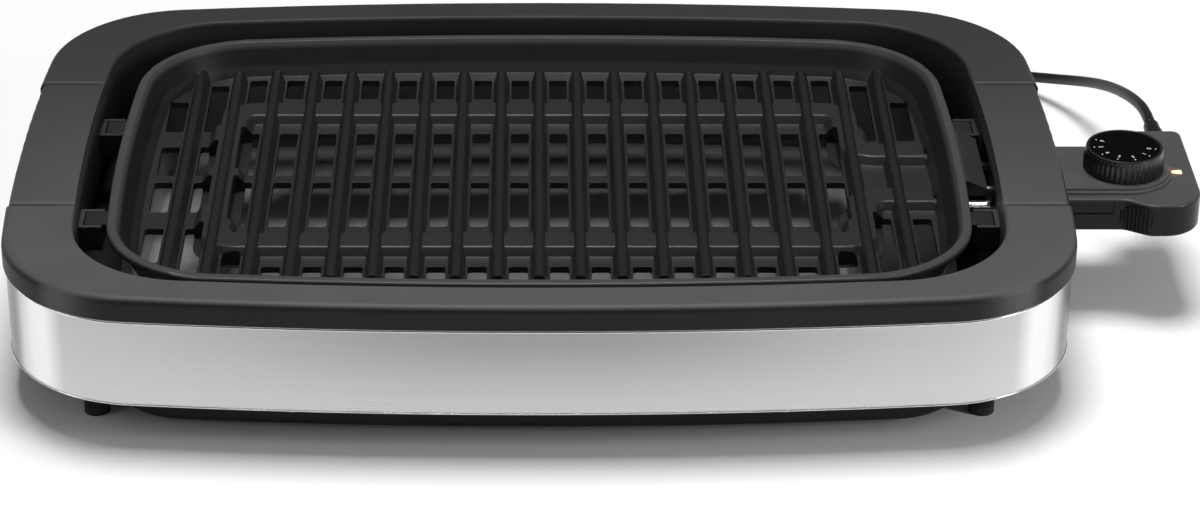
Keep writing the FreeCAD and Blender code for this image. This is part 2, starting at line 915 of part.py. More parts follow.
def base_pan():
    """The pan that closes the bottom: basin, flange inside the band and upturned lip."""
    body = new_body("BasePan")
    lip_inset = S.band_inset + S.band_wall + S.piece_gap
    flange = Drawing(body, "PanFlange", lift=flange_base)
    flange.bowed(body_outline.inset(lip_inset))
    pad(body, flange, S.flange_thickness)
    soften(body, "Chamfer", S.flange_chamfer, at_level(flange_base))
    basin = Drawing(body, "PanBasin", lift=S.pan_clearance)
    basin.bowed(pan_outline)
    pad(body, basin, flange_top - S.pan_clearance)
    soften(body, "Fillet", S.pan_round, at_level(S.pan_clearance))
    lip = Drawing(body, "PanLip", lift=flange_top)
    lip.bowed(body_outline.inset(lip_inset))
    lip.bowed(body_outline.inset(lip_inset + S.lip_wall))
    pad(body, lip, collar_base - S.lip_gap - flange_top)
    hollow = Drawing(body, "PanHollow", lift=flange_top)
    hollow.bowed(pan_outline.inset(S.pan_wall))
    pocket(body, hollow, flange_top - S.pan_clearance - S.pan_wall)
    holes = Drawing(body, "PanScrewHoles", lift=flange_top)
    for x, y in on_both(*boss_places):
        holes.circle(x, y, S.screw_radius + S.hole_gap)
    pocket(body, holes, S.flange_thickness)
    keep("base_pan", body)


def feet():
    """Four tapered posts under the flange and their soft pads."""
    posts = []
    pads = []
    low = S.foot_radius - S.foot_taper
    for i, (x, y) in enumerate(on_both((S.foot_offset_x, S.foot_offset_y))):
        post = doc.addObject("Part::Cone", f"FootPost{i}")
        bind(post, "Radius1", low)
        bind(post, "Radius2", S.foot_radius)
        bind(post, "Height", S.foot_height - S.pad_height)
        bind_place(post, x, y, S.pad_height)
        posts.append(post)
        pads.append(rod(f"FootPad{i}", x, y, 0, low, S.pad_height))
    keep("foot_posts", group("FootPosts", posts))
    keep("foot_pads", group("FootPads", pads))


def base_screws():
    """Screws through the pan into the frame, and through the frame into the grips."""
    length = S.flange_thickness + S.frame_screw_length - S.seat_gap
    places = on_both(*boss_places)
    frame = [screw(f"FrameScrew{i}", x, y, flange_base, length) for i, (x, y) in enumerate(places)]
    keep("frame_screws", group("FrameScrews", frame))
    length = seat_level - rim_base + S.grip_screw_depth
    places = on_both((grip_screw_x, S.grip_screw_offset))
    grips = [screw(f"GripScrew{i}", x, y, rim_base, length) for i, (x, y) in enumerate(places)]
    keep("handle_screws", group("HandleScrews", grips))


def probe_collar():
    """The trough that lines the band's opening, hung under the rim."""
    body = new_body("ProbeCollar")
    start = opening.half_width + S.piece_gap
    trough = Drawing(body, "CollarTrough", plane="YZ_Plane", lift=start)
    trough.chain(
        [
            (-collar_outer, collar_base),
            (collar_outer, collar_base),
            (collar_outer, rim_base),
            (collar_inner, rim_base),
            (collar_inner, collar_floor),
            (-collar_inner, collar_floor),
            (-collar_inner, rim_base),
            (-collar_outer, rim_base),
        ]
    )
    pad(body, trough, S.handle_width - S.band_inset)
    keep("probe_collar", body)


def drip_tray():
    """A pressed tray with a rolled flange and a bay that clears the sensor."""
    body = new_body("DripTray")
    base = S.pan_clearance + S.pan_wall + S.seat_gap
    top = skirt_base + S.tray_lap
    height = top - base
    outer = Drawing(body, "TrayOuter", lift=base)
    outer.bowed(tray_outline)
    pad(body, outer, height)
    flange = Drawing(body, "TrayFlange", lift=top - S.tray_wall)
    flange.bowed(tray_outline.inset(-S.tray_flange))
    pad(body, flange, S.tray_wall)
    hollow = Drawing(body, "TrayHollow", lift=top)
    hollow.bowed(tray_outline.inset(S.tray_wall))
    pocket(body, hollow, height - S.tray_wall)
    half = S.bay_half_width + S.tray_wall
    dip = half * half / (2 * S.side_bow)
    bay_start = tray_outline.half_width - S.bay_length
    wall = Drawing(body, "BayWall", lift=base)
    wall.rectangle(bay_start - S.tray_wall, tray_outline.half_width - S.tray_wall / 2 - dip, -half, half)
    pad(body, wall, height)
    bay = Drawing(body, "Bay", lift=top)
    end = tray_outline.half_width + S.tray_flange + S.overrun
    bay.rectangle(bay_start, end, -S.bay_half_width, S.bay_half_width)
    pocket(body, bay, height)
    keep("drip_tray", body)


def element_path(drawing, end):
    """The heating loop seen from above: two long runs, joined under a rib at the left, and two leads."""
    rib_x = channel_pitch * (CHANNEL_COUNT / 2 - 2)
    front = [
        (end, -S.terminal_spacing),
        (rib_x, -S.terminal_spacing),
        (rib_x, -S.element_run),
        (-rib_x, -S.element_run),
    ]
    back = [(x, -y) for x, y in reversed(front)]
    drawing.chain(front + back, S.element_bend, closed=False)


channel_pitch = (plate_outline.half_width - S.end_margin) * (2 / CHANNEL_COUNT)


def channel_x(number):
    """Middle of a channel, counted from the left end."""
    return channel_pitch * (number + 0.5 - CHANNEL_COUNT / 2)


def slot_rows(drawing, x, near, far, middle=None):
    """The drain slots of one channel: front and rear, and two in the middle if there is room."""
    half = S.slot_width / 2
    rows = [(near, far)]
    if middle is not None:
        rows.append((S.cross_bar / 2, middle))
    for low, high in rows:
        drawing.rectangle(x - half, x + half, low, high, S.slot_corner)
        drawing.rectangle(x - half, x + half, -high, -low, S.slot_corner)


def grill_plate():
    """The cast plate: edge, sloped wall, ribs, ridge over the element, drain slots and ears."""
    body = new_body("GrillPlate")
    edge = Drawing(body, "PlateEdge", lift=plate_under)
    edge.bowed(plate_outline)
    pad(body, edge, S.plate_edge)
    soften(body, "Fillet", S.plate_edge_round, at_level(plate_top))
    wall_foot = Drawing(body, "PlateWallFoot", lift=plate_bottom)
    wall_foot.bowed(plate_outline.inset(S.wall_foot_inset))
    wall_top = Drawing(body, "PlateWallTop", lift=plate_under)
    wall_top.bowed(plate_outline.inset(S.wall_top_inset))
    loft(body, "AdditiveLoft", wall_foot, wall_top)
    ears = Drawing(body, "Ears", lift=ear_base)
    root_x = plate_outline.half_width - S.ear_root
    for x0, x1 in ((root_x, ear_end), (-ear_end, -root_x)):
        for middle in (S.ear_centre, -S.ear_centre):
            ears.rectangle(x0, x1, middle - S.ear_half_width, middle + S.ear_half_width)
    pad(body, ears, S.ear_thickness)
    basin_foot = Drawing(body, "BasinFoot", lift=plate_floor)
    basin_foot.bowed(plate_outline.inset(S.basin_foot_inset))
    basin_top = Drawing(body, "BasinTop", lift=plate_top)
    basin_top.bowed(plate_outline.inset(S.basin_top_inset))
    loft(body, "SubtractiveLoft", basin_foot, basin_top)
    ridge = Drawing(body, "Ridge", plane="YZ_Plane", lift=element_end)
    spot = -S.terminal_spacing
    ridge.chain(
        [
            (spot - S.ridge_half_width, plate_bottom - S.ridge_depth),
            (spot + S.ridge_half_width, plate_bottom - S.ridge_depth),
            (spot + S.ridge_half_width, plate_floor),
            (spot + S.ridge_top_half_width, plate_floor + S.ridge_height, S.ridge_round),
            (spot - S.ridge_top_half_width, plate_floor + S.ridge_height, S.ridge_round),
            (spot - S.ridge_half_width, plate_floor),
        ]
    )
    ridge_path = Drawing(body, "RidgePath")
    element_path(ridge_path, element_end)
    sweep(body, "AdditivePipe", ridge, ridge_path)
    rib = Drawing(body, "Rib", plane="XZ_Plane")
    first_x = channel_pitch * (1 - CHANNEL_COUNT / 2)
    foot = plate_bottom + S.floor_thickness / 2
    rib.chain(
        [
            (first_x - S.rib_foot_width / 2, foot),
            (first_x + S.rib_foot_width / 2, foot),
            (first_x + S.rib_foot_width / 2, plate_floor),
            (first_x + S.rib_top_width / 2, plate_floor + S.rib_height, S.rib_round),
            (first_x - S.rib_top_width / 2, plate_floor + S.rib_height, S.rib_round),
            (first_x - S.rib_foot_width / 2, plate_floor),
        ]
    )
    rib_half = plate_outline.half_depth - S.rib_end_gap
    bar = pad(body, rib, 2 * rib_half, midplane=True)
    along = axis_of(body, "X_Axis")
    ribs = pattern(body, bar, "LinearPattern", Direction=along, Occurrences=CHANNEL_COUNT - 1)
    bind(ribs, "Length", channel_pitch * (CHANNEL_COUNT - 2))
    groove = Drawing(body, "ElementGroove", plane="YZ_Plane", lift=element_end)
    gap_radius = S.element_radius + S.element_gap
    groove.chain(
        [
            (spot - gap_radius, plate_bottom - S.ridge_depth - S.overrun),
            (spot + gap_radius, plate_bottom - S.ridge_depth - S.overrun),
            (spot + gap_radius, element_level + S.element_radius / 2),
            (spot + gap_radius / 2, element_level + gap_radius),
            (spot - gap_radius / 2, element_level + gap_radius),
            (spot - gap_radius, element_level + S.element_radius / 2),
        ]
    )
    groove_path = Drawing(body, "GroovePath")
    element_path(groove_path, element_end)
    sweep(body, "SubtractivePipe", groove, groove_path)
    doors = Drawing(body, "TerminalDoors", plane="YZ_Plane", lift=element_end - S.element_bend / 2)
    for side in (1, -1):
        middle = side * S.terminal_spacing
        doors.rectangle(middle - gap_radius, middle + gap_radius, plate_bottom - S.ridge_depth - S.overrun,
                        element_level + gap_radius)
    pocket(body, doors, S.element_end_inset + S.element_bend, reverse=True)
    far = plate_outline.half_depth - S.slot_wall_gap
    depth = S.floor_thickness + S.ridge_height + S.overrun
    slots = Drawing(body, "Slots", lift=plate_floor + S.ridge_height)
    slot_rows(slots, channel_x(END_CHANNELS), S.slot_front, far, S.slot_middle)
    one = pocket(body, slots, depth)
    inner_count = CHANNEL_COUNT - 2 * END_CHANNELS
    row = pattern(body, one, "LinearPattern", Direction=along, Occurrences=inner_count)
    bind(row, "Length", channel_pitch * (inner_count - 1))
    left = (-1, "Left", S.slot_front_left, S.slot_middle_left)
    right = (1, "Right", S.slot_front_right, None)
    for from_end in range(END_CHANNELS):
        for side, word, start, middle in (left, right):
            ends = Drawing(body, f"{word}Slots{from_end}", lift=plate_floor + S.ridge_height)
            x = -side * channel_x(from_end)
            if from_end == END_CHANNELS - 1:
                slot_rows(ends, x, S.slot_front_third, far, S.slot_middle)
            else:
                slot_rows(ends, x, start, S.slot_next_end if from_end else S.slot_last_end, middle)
            pocket(body, ends, depth)
    keep("grill_plate", body)


def heating_element():
    """The tubular loop in its groove."""
    body = new_body("HeatingElement")
    profile = Drawing(body, "ElementSection", plane="YZ_Plane", lift=element_end)
    profile.circle(-S.terminal_spacing, element_level, S.element_radius)
    path = Drawing(body, "ElementPath", lift=element_level)
    element_path(path, element_end)
    sweep(body, "AdditivePipe", profile, path)
    keep("heating_element", body)


def terminals():
    """The element's cold pins and the sleeves round them."""
    pins = []
    sleeves = []
    for i, side in enumerate((1, -1)):
        y = side * S.terminal_spacing
        pin_length = pin_end - element_end
        pins.append(rod(f"Pin{i}", element_end, y, element_level, S.pin_radius, pin_length, ALONG_X))
        spot = (element_end, y, element_level)
        shell = rod(f"Sleeve{i}", *spot, S.element_radius, S.insulator_length, ALONG_X)
        bore = rod(f"SleeveBore{i}", *spot, S.pin_radius + S.hole_gap, S.insulator_length, ALONG_X)
        sleeves.append(cut(f"PinSleeve{i}", shell, bore))
    keep("terminal_pins", group("TerminalPins", pins))
    keep("terminal_insulators", group("TerminalInsulators", sleeves))


def terminal_guard():
    """The block on the plate's right edge over the rear pin and the sensor."""
    body = new_body("TerminalGuard")
    side = Drawing(body, "GuardSide", plane="XZ_Plane", lift=-S.guard_back)
    start = plate_outline.half_width - S.guard_tongue
    end = plate_outline.half_width + S.guard_reach
    base = element_level + S.pin_radius + S.guard_lift
    shoulder = plate_under - S.guard_shoulder
    side.chain(
        [
            (start, base),
            (end, base),
            (end, base + S.guard_end_height),
            (plate_outline.half_width + S.guard_tongue, shoulder),
            (plate_outline.half_width, shoulder),
            (plate_outline.half_width, plate_under),
            (start, plate_under),
        ]
    )
    pad(body, side, S.guard_back + S.guard_front)
    keep("terminal_guard", body)


def sensor_saddle():
    """Two rails under the plate that guide the sensor rod."""
    rails = []
    inner = S.sensor_radius + S.piece_gap
    outer = inner + S.saddle_wall
    end = plate_outline.half_width - S.wall_foot_inset
    for i, (y0, y1) in enumerate(((inner, outer), (-outer, -inner))):
        low = plate_bottom - S.saddle_depth
        rails.append(box(f"SaddleRail{i}", end - S.saddle_length, end, y0, y1, low, plate_bottom))
    keep("sensor_saddle", group("SensorSaddle", rails))


def probe_outline(drawing, inset, nose):
    """The housing seen from above: a neck, then a head that steps out further at the back."""
    neck = S.neck_half_width - inset
    head_x = probe_end - S.head_length
    slope = S.head_slope
    drawing.chain(
        [
            (nose, -neck),
            (head_x, -neck, S.head_slope_round),
            (head_x + slope, inset - S.head_front, S.head_slope_round),
            (probe_end - inset, inset - S.head_front, S.head_front_round - inset),
            (probe_end - inset, S.head_back - inset, S.head_back_round - inset),
            (head_x + slope / 2, S.head_back - inset, S.head_back_round),
            (head_x + inset, neck, S.head_back_round),
            (nose, neck),
        ]
    )


housing_bosses = [
    (probe_nose + S.boss_back_x, S.boss_neck_y),
    (probe_nose + S.boss_back_x, -S.boss_neck_y),
    (probe_end - S.boss_head_x, -S.boss_front_y),
    (probe_end - 2 * S.boss_head_x, S.boss_rear_y),
]
relief_x = probe_end - S.relief_inset


def half_shell(body, name, base, height, roof):
    """One hollow half of the housing, open at the nose and at the split, with its screw bosses."""
    outside = Drawing(body, name + "Outside", lift=base)
    probe_outline(outside, as_size(0), probe_nose)
    pad(body, outside, height)
    upper = base.value >= split_level.value - 1e-6
    edge = base + height if upper else base
    soften(body, "Fillet", S.shell_round, lambda p: at_level(edge)(p) and p.x > probe_nose.value + 1e-3)
    inside = Drawing(body, name + "Inside", lift=split_level)
    probe_outline(inside, S.shell_wall, probe_nose - S.overrun)
    pocket(body, inside, height - roof, reverse=upper)
    bosses = Drawing(body, name + "Bosses", lift=split_level)
    for x, y in housing_bosses:
        bosses.circle(x, y, S.housing_boss_radius)
    pad(body, bosses, height - roof / 2, reverse=not upper)
    notch = Drawing(body, name + "Notch", plane="XZ_Plane", lift=-(S.head_back + S.overrun))
    notch.circle(relief_x, split_level, S.relief_neck_radius + S.hole_gap)
    pocket(body, notch, S.shell_wall + 2 * S.overrun, reverse=True)


def probe_upper_shell():
    """The upper half: deck, plateau under the dial, holes for the shaft and the lens."""
    body = new_body("ProbeUpper")
    half_shell(body, "Upper", split_level, S.deck_height, S.shell_wall)
    tiers = [("Plateau", as_size(0), S.plateau_height), ("PlateauStep", S.step_width, S.step_height)]
    for name, wider, height in tiers:
        tier = Drawing(body, name, lift=deck_top - S.shell_wall / 2)
        half = S.plateau_half_width + wider
        tip = knob_x + S.plateau_half_width + wider / 2
        bend = half - S.hole_gap
        tier.chain([(probe_nose, -half), (tip, -half, bend), (tip, half, bend), (probe_nose, half)])
        pad(body, tier, height + S.shell_wall / 2)
    flank = Drawing(body, "Flank", plane="XZ_Plane", lift=S.neck_half_width)
    flank_end = probe_end - S.head_length - S.flank_end_gap
    flank.rectangle(probe_nose - S.overrun, flank_end, split_level - S.overrun, deck_top - S.flank_top_gap)
    pocket(body, flank, S.flank_depth)
    holes = Drawing(body, "ShaftHole", lift=plateau_top)
    holes.circle(knob_x, 0, S.shaft_radius + S.running_gap)
    pocket(body, holes, S.plateau_height + S.deck_height)
    lens = Drawing(body, "LensHole", lift=plateau_top)
    lens_outline(lens, S.hole_gap)
    pocket(body, lens, S.plateau_height + S.deck_height)
    screws = Drawing(body, "UpperScrewHoles", lift=split_level)
    for x, y in housing_bosses:
        screws.circle(x, y, S.screw_radius + S.hole_gap)
    pocket(body, screws, S.deck_height - S.shell_wall, reverse=True)
    keep("probe_upper_shell", body)


def probe_lower_shell():
    """The lower half, with counterbored screw holes."""
    body = new_body("ProbeLower")
    half_shell(body, "Lower", probe_base, S.lower_height, S.shell_wall)
    screws = Drawing(body, "LowerScrewHoles", lift=split_level)
    for x, y in housing_bosses:
        screws.circle(x, y, S.screw_radius + S.hole_gap)
    pocket(body, screws, S.lower_height)
    heads = Drawing(body, "ScrewHeadHoles", lift=probe_base + S.screw_head_height)
    for x, y in housing_bosses:
        heads.circle(x, y, S.screw_head_radius + S.hole_gap)
    pocket(body, heads, S.screw_head_height)
    keep("probe_lower_shell", body)


def housing_screws():
    """Four screws from below that hold the two halves together."""
    length = S.lower_height - S.screw_head_height + S.deck_height - S.shell_wall - S.seat_gap
    level = probe_base + S.screw_head_height
    screws = [screw(f"HousingScrew{i}", x, y, level, length) for i, (x, y) in enumerate(housing_bosses)]
    keep("housing_screws", group("HousingScrews", screws))


def contacts():
    """The insulating block in the nose, its two open-topped contacts and the sensor rod."""
    half = S.neck_half_width - S.shell_wall
    low = probe_base + S.shell_wall
    high = deck_top - S.shell_wall
    block = box("CarrierBlock", probe_nose, probe_nose + S.carrier_length, -half, half, low, high)
    sensor_start = plate_outline.half_width - S.sensor_reach
    length = probe_nose + S.carrier_length - sensor_start
    bore_radius = S.sensor_radius + S.hole_gap
    bore = rod("CarrierBore", probe_nose, 0, sensor_level, bore_radius, S.carrier_length, ALONG_X)
    tails = []
    forks = []
    for i, side in enumerate((1, -1)):
        y = side * S.terminal_spacing
        trough = fork_trough(f"Fork{i}", y)
        tail_low = element_level - S.pin_radius - S.piece_gap - S.fork_wall
        tail_half = S.fork_tail_width / 2
        span = (y - tail_half, y + tail_half, tail_low, tail_low + S.fork_tail_height)
        tail = box(f"ForkTail{i}", pin_end, probe_nose + S.fork_root, *span)
        tails.append(box(f"ForkSlot{i}", probe_nose, probe_nose + S.fork_root, *span))
        forks.append(fuse(f"ContactFork{i}", [trough, tail]))
    keep("contact_carrier", cut("ContactCarrier", block, fuse("CarrierHoles", [bore] + tails)))
    keep("contact_forks", group("ContactForks", forks))
    stem = rod("SensorStem", sensor_start + S.sensor_radius, 0, sensor_level, S.sensor_radius,
               length - S.sensor_radius, ALONG_X)
    tip = doc.addObject("Part::Sphere", "SensorTip")
    bind(tip, "Radius", S.sensor_radius)
    bind_place(tip, sensor_start + S.sensor_radius, 0, sensor_level)
    keep("sensor_rod", fuse("SensorRod", [stem, tip]))


def fork_trough(name, y):
    """A half-round cradle under one pin, open at the top."""
    inner = S.pin_radius + S.piece_gap
    outer = inner + S.fork_wall
    start = pin_end - S.fork_length
    length = S.fork_length + S.overrun
    tube = rod(name + "Tube", start, y, element_level, outer, length, ALONG_X)
    bore = rod(name + "Bore", start - S.overrun, y, element_level, inner, length + 2 * S.overrun, ALONG_X)
    lid = box(name + "Lid", start - S.overrun, start + length + S.overrun, y - outer - S.overrun,
              y + outer + S.overrun, element_level + S.fork_rise, element_level + outer + S.overrun)
    return cut(name + "Trough", tube, fuse(name + "Waste", [bore, lid]))


def thermostat():
    """The regulator under the dial, on the floor of the housing."""
    half = S.thermostat_length / 2
    low = probe_base + S.shell_wall
    high = plateau_top - S.plateau_height - S.shaft_foot - S.seat_gap
    wide = S.thermostat_half_width
    block = box("Thermostat", -half, half, -wide, wide, low, high)
    keep("thermostat_body", block, knob_x - half, -wide, low)


def lens_outline(drawing, grow):
    """A drop that points at the dial."""
    x = probe_end - S.lens_inset
    wide = S.lens_half_width + grow
    drawing.chain(
        [
            (x - S.lens_point - grow, 0),
            (x + S.lens_tail + grow, -wide, S.lens_tail / 2),
            (x + S.lens_tail + grow, wide, S.lens_tail / 2),
        ]
    )


def indicator():
    """The lit pointer beside the dial and the lamp under it."""
    body = new_body("IndicatorLens")
    drop = Drawing(body, "LensDrop", lift=deck_top + S.lens_proud - S.lens_depth)
    lens_outline(drop, as_size(0))
    pad(body, drop, S.lens_depth)
    keep("indicator_lens", body)
    x = probe_end - S.lens_inset - S.lamp_radius / 2
    level = deck_top + S.lens_proud - S.lens_depth - S.seat_gap - S.lamp_radius
    lamp = rod("NeonLamp", 0, 0, 0, S.lamp_radius, S.lamp_length)
    keep("neon_lamp", lamp, x, -S.lamp_length / 2, level, ALONG_Y)


def dial():
    """The fluted knob, its face disc and the shaft it turns on."""
    base = plateau_top + S.knob_lift
    body = new_body("KnobSkirt")
    section = Drawing(body, "KnobSection", plane="XZ_Plane")
    bore = S.shaft_radius + S.running_gap
    high = S.knob_height
    sunk = high - S.disc_thickness
    section.chain(
        [
            (bore, 0),
            (S.knob_hub_radius, 0),
            (S.knob_hub_radius, sunk - S.knob_roof),
            (S.knob_radius - S.knob_wall, sunk - S.knob_roof),
            (S.knob_radius - S.knob_wall, 0),
            (S.knob_radius, 0),
            (S.knob_radius, S.knob_roof / 2),
            (S.knob_top_radius, high),
            (S.disc_radius + S.hole_gap, high),
            (S.disc_radius + S.hole_gap, sunk),
            (bore, sunk),
        ]
    )
    revolve(body, section)
    flute = Drawing(body, "Flute", lift=high - S.knob_roof / 2)
    flute.circle(S.knob_radius, 0, S.flute_radius + (S.knob_radius - S.knob_top_radius) / 2)
    one = pocket(body, flute, high)
    pattern(body, one, "PolarPattern", Axis=axis_of(body, "Z_Axis"), Angle=360, Occurrences=FLUTE_COUNT)
    keep("knob_skirt", body, knob_x, 0, base)
    face = rod("KnobDisc", 0, 0, 0, S.disc_radius, S.disc_thickness)
    keep("knob_disc", face, knob_x, 0, base + sunk)
    foot = S.plateau_height + S.shaft_foot
    shaft = rod("ControlShaft", 0, 0, 0, S.shaft_radius, foot + S.knob_lift + sunk)
    keep("control_shaft", shaft, knob_x, 0, plateau_top - foot)


def strain_relief():
    """A ringed boot held in the split of the housing."""
    body = new_body("StrainRelief")
    section = Drawing(body, "BootSection", plane="XZ_Plane")
    outside = S.relief_flange + S.shell_wall
    rows = [(0, 0), (S.relief_flange_radius, 0), (S.relief_flange_radius, S.relief_flange)]
    rows += [(S.relief_neck_radius, S.relief_flange), (S.relief_neck_radius, outside)]
    rows += [(S.relief_radius, outside)]
    start = outside + S.relief_ring
    taper = (S.relief_radius - S.relief_tip_radius) / RELIEF_RING_COUNT
    for i in range(RELIEF_RING_COUNT):
        level = start + S.relief_ring * (1.5 * i)
        radius = S.relief_radius - taper * i
        rows += [(radius, level), (radius - S.relief_groove, level)]
        rows += [(radius - S.relief_groove, level + S.relief_ring / 2)]
        rows += [(radius - taper, level + S.relief_ring / 2)]
    rows += [(S.relief_tip_radius, outside + S.relief_length)]
    rows += [(0, outside + S.relief_length)]
    section.chain(rows)
    revolve(body, section)
    y = S.head_back - S.shell_wall - S.relief_flange
    keep("strain_relief", body, relief_x, y, split_level, ALONG_Y)


def arc_from(start, way, end):
    """An arc that leaves start along a direction and ends at end, with the direction it ends in."""
    chord = end - start
    across = chord - way * chord.dot(way)
    if across.Length < 1e-6:
        return Part.LineSegment(start, end).toShape(), way
    across.normalize()
    radius = chord.dot(chord) / (2 * chord.dot(across))
    centre = start + across * radius
    middle = centre + ((start - centre) + (end - centre)).normalize() * radius
    unit = Vector(chord).normalize()
    leave = unit * (2 * unit.dot(way)) - way
    return Part.Arc(start, middle, end).toShape(), leave


def biarc(start, way, end, leave):
    """Two arcs that join two points with their directions."""
    chord = end - start
    total = way + leave
    spread = 2 * (1 - way.dot(leave))
    along = chord.dot(total)
    reach = (math.sqrt(along**2 + spread * chord.dot(chord)) - along) / spread
    joint = (start + end + (way - leave) * reach) * 0.5
    first, turn = arc_from(start, way, joint)
    second, last = arc_from(joint, turn, end)
    return [first, second]


def tube(edges, diameter):
    """A round tube along a path of lines and tangent arcs, with its length checked by volume."""
    path = Part.Wire(edges)
    start = edges[0].valueAt(edges[0].FirstParameter)
    way = edges[0].tangentAt(edges[0].FirstParameter)
    ring = Part.Wire(Part.makeCircle(diameter / 2, start, way))
    solid = path.makePipeShell([ring], True, False)
    section = math.pi * diameter**2 / 4
    print(f"tube length {path.Length:.1f} volume share {solid.Volume / (section * path.Length):.4f}")
    return solid


def cord_edges(points):
    """Straight runs with tangent arcs, each as large as its runs allow."""
    spots = [Vector(*point) for point in points]
    edges = []
    radii = []
    last = spots[0]
    for before, here, after in zip(spots, spots[1:], spots[2:]):
        back = before - here
        ahead = after - here
        half_turn = (math.pi - back.getAngle(ahead)) / 2
        reach = 0.45 * min(back.Length, ahead.Length)
        radii.append(reach / math.tan(half_turn))
        start = here + back.normalize() * reach
        end = here + ahead.normalize() * reach
        edges.append(Part.LineSegment(last, start).toShape())
        edges.append(arc_from(start, back * -1, end)[0])
        last = end
    edges.append(Part.LineSegment(last, spots[-1]).toShape())
    print("cord bend radii", [round(radius) for radius in radii])
    return edges


def coil_spot(quarter):
    """Centre of the coil's tube after a number of quarter turns, from its own middle."""
    inward = min(quarter, COIL_IN_QUARTERS)
    outward = max(quarter - COIL_IN_QUARTERS - COIL_CLIMB_QUARTERS, 0)
    climb = min(max(quarter - COIL_IN_QUARTERS, 0), COIL_CLIMB_QUARTERS) / COIL_CLIMB_QUARTERS
    step = S.coil_step.value / 4
    radius = S.coil_radius.value + step * (COIL_IN_QUARTERS - inward + outward)
    turn = math.pi / 2 * (1 + quarter)
    rise = S.coil_layer.value * climb * climb * (3 - 2 * climb)
    return Vector(radius * math.cos(turn), radius * math.sin(turn), rise)


def coil_tube():
    """One unbroken tube: it spirals in, climbs a layer and spirals out again, then runs to the plug."""
    diameter = S.cord_diameter.value
    end = Vector(*CORD_ROUTE[-1])
    quarters = 2 * COIL_IN_QUARTERS + COIL_CLIMB_QUARTERS
    middle = end - Vector(diameter, 0, 0) - coil_spot(0)

    def spot(quarter):
        return middle + coil_spot(quarter)

    def way(quarter):
        if quarter <= 0 or quarter >= quarters:
            return Vector(-1, 0, 0)
        step = 1e-3
        return (spot(quarter + step) - spot(quarter - step)).normalize()

    edges = [Part.LineSegment(end, spot(0)).toShape()]
    for quarter in range(quarters):
        edges += biarc(spot(quarter), way(quarter), spot(quarter + 1), way(quarter + 1))
    tail = spot(quarters) - Vector(S.coil_tail.value, 0, 0)
    edges.append(Part.LineSegment(spot(quarters), tail).toShape())
    print(f"coil least self gap {self_gap(edges, diameter):.2f}")
    return tube(edges, diameter), tail


def self_gap(edges, diameter):
    """Least clear distance of a tube to itself, between places over two diameters apart along it."""
    step = diameter / 4
    points = []
    for edge in edges:
        points += edge.discretize(max(2, int(edge.Length / step) + 1))[:-1]
    skip = int(math.pi * diameter / step)
    least = math.inf
    for i, here in enumerate(points):
        for there in points[i + skip:]:
            least = min(least, here.distanceToPoint(there))
    return least - diameter


def supply_cord():
    """The free stretch, the coil behind the base and the plug."""
    stretch = doc.addObject("Part::Feature", "PowerCord")
    stretch.Shape = tube(cord_edges(CORD_ROUTE), S.cord_diameter.value)
    keep("power_cord", stretch)
    coil = doc.addObject("Part::Feature", "CordCoil")
    coil.Shape, tail = coil_tube()
    keep("cord_coil", coil)
    body = new_body("PlugBody")
    section = Drawing(body, "PlugSection", plane="YZ_Plane")
    high = tail.z
    section.rectangle(-S.plug_half_width, S.plug_half_width, as_size(-high), as_size(high), S.plug_round)
    pad(body, section, S.plug_length, reverse=True)
    neck = Drawing(body, "PlugNeck", plane="YZ_Plane")
    neck.circle(0, 0, S.plug_neck_radius)
    pad(body, neck, S.plug_neck_length)
    keep("plug_body", body, tail.x - S.plug_neck_length, tail.y, tail.z)
    blades = []
    start = as_size(tail.x) - S.plug_neck_length - S.plug_length
    for i, side in enumerate((1, -1)):
        y = tail.y + side * S.blade_spacing / 2
        half = S.blade_thickness / 2
        wide = S.blade_width / 2
        blades.append(box(f"Blade{i}", start - S.blade_length, start, y - half, y + half, tail.z - wide,
                          tail.z + wide))
    keep("plug_blades", group("PlugBlades", blades))


def check_and_write():
    """Stop on any failed object; write one file per piece."""
    doc.recompute()
    for thing in doc.Objects:
        if "Invalid" in thing.State or "Error" in thing.State:
            raise RuntimeError(f"{thing.Name} failed: {thing.State}")
    for node in nodes:
        if node.Shape.isNull() or not node.Shape.isValid() or not node.Shape.Solids:
            raise RuntimeError(f"{node.Label} has no valid solid")
    os.makedirs("parts", exist_ok=True)
    for node in nodes:
        node.Shape.exportStep(f"parts/{node.Label}.step")
        corners = node.Shape.BoundBox
        print(f"{node.Label}: {len(node.Shape.Solids)} solids, {node.Shape.Volume / 1000:.1f} cm3, "
              f"x {corners.XMin:.1f} {corners.XMax:.1f} y {corners.YMin:.1f} {corners.YMax:.1f} "
              f"z {corners.ZMin:.1f} {corners.ZMax:.1f}")


rim_frame()
handles()
steel_band()
base_pan()
feet()
base_screws()
probe_collar()
drip_tray()
grill_plate()
heating_element()
terminals()
terminal_guard()
sensor_saddle()
probe_upper_shell()
probe_lower_shell()
housing_screws()
contacts()
thermostat()
indicator()
dial()
strain_relief()
supply_cord()
check_and_write()
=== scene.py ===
"""Looks of an indoor electric grill with a steel band, a ribbed plate and a plug-in control probe.

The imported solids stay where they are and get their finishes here. Added to them are the supply cord with
its tie, the hems of the steel band, the finger grip of the probe, and the printing, edge ring and studs of
the dial. All lengths are metres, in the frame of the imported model.
"""

import logging
import math
from dataclasses import dataclass, field
from enum import Enum
from typing import Any, Mapping, Optional, Sequence, Union

import bpy
from mathutils import Matrix, Vector


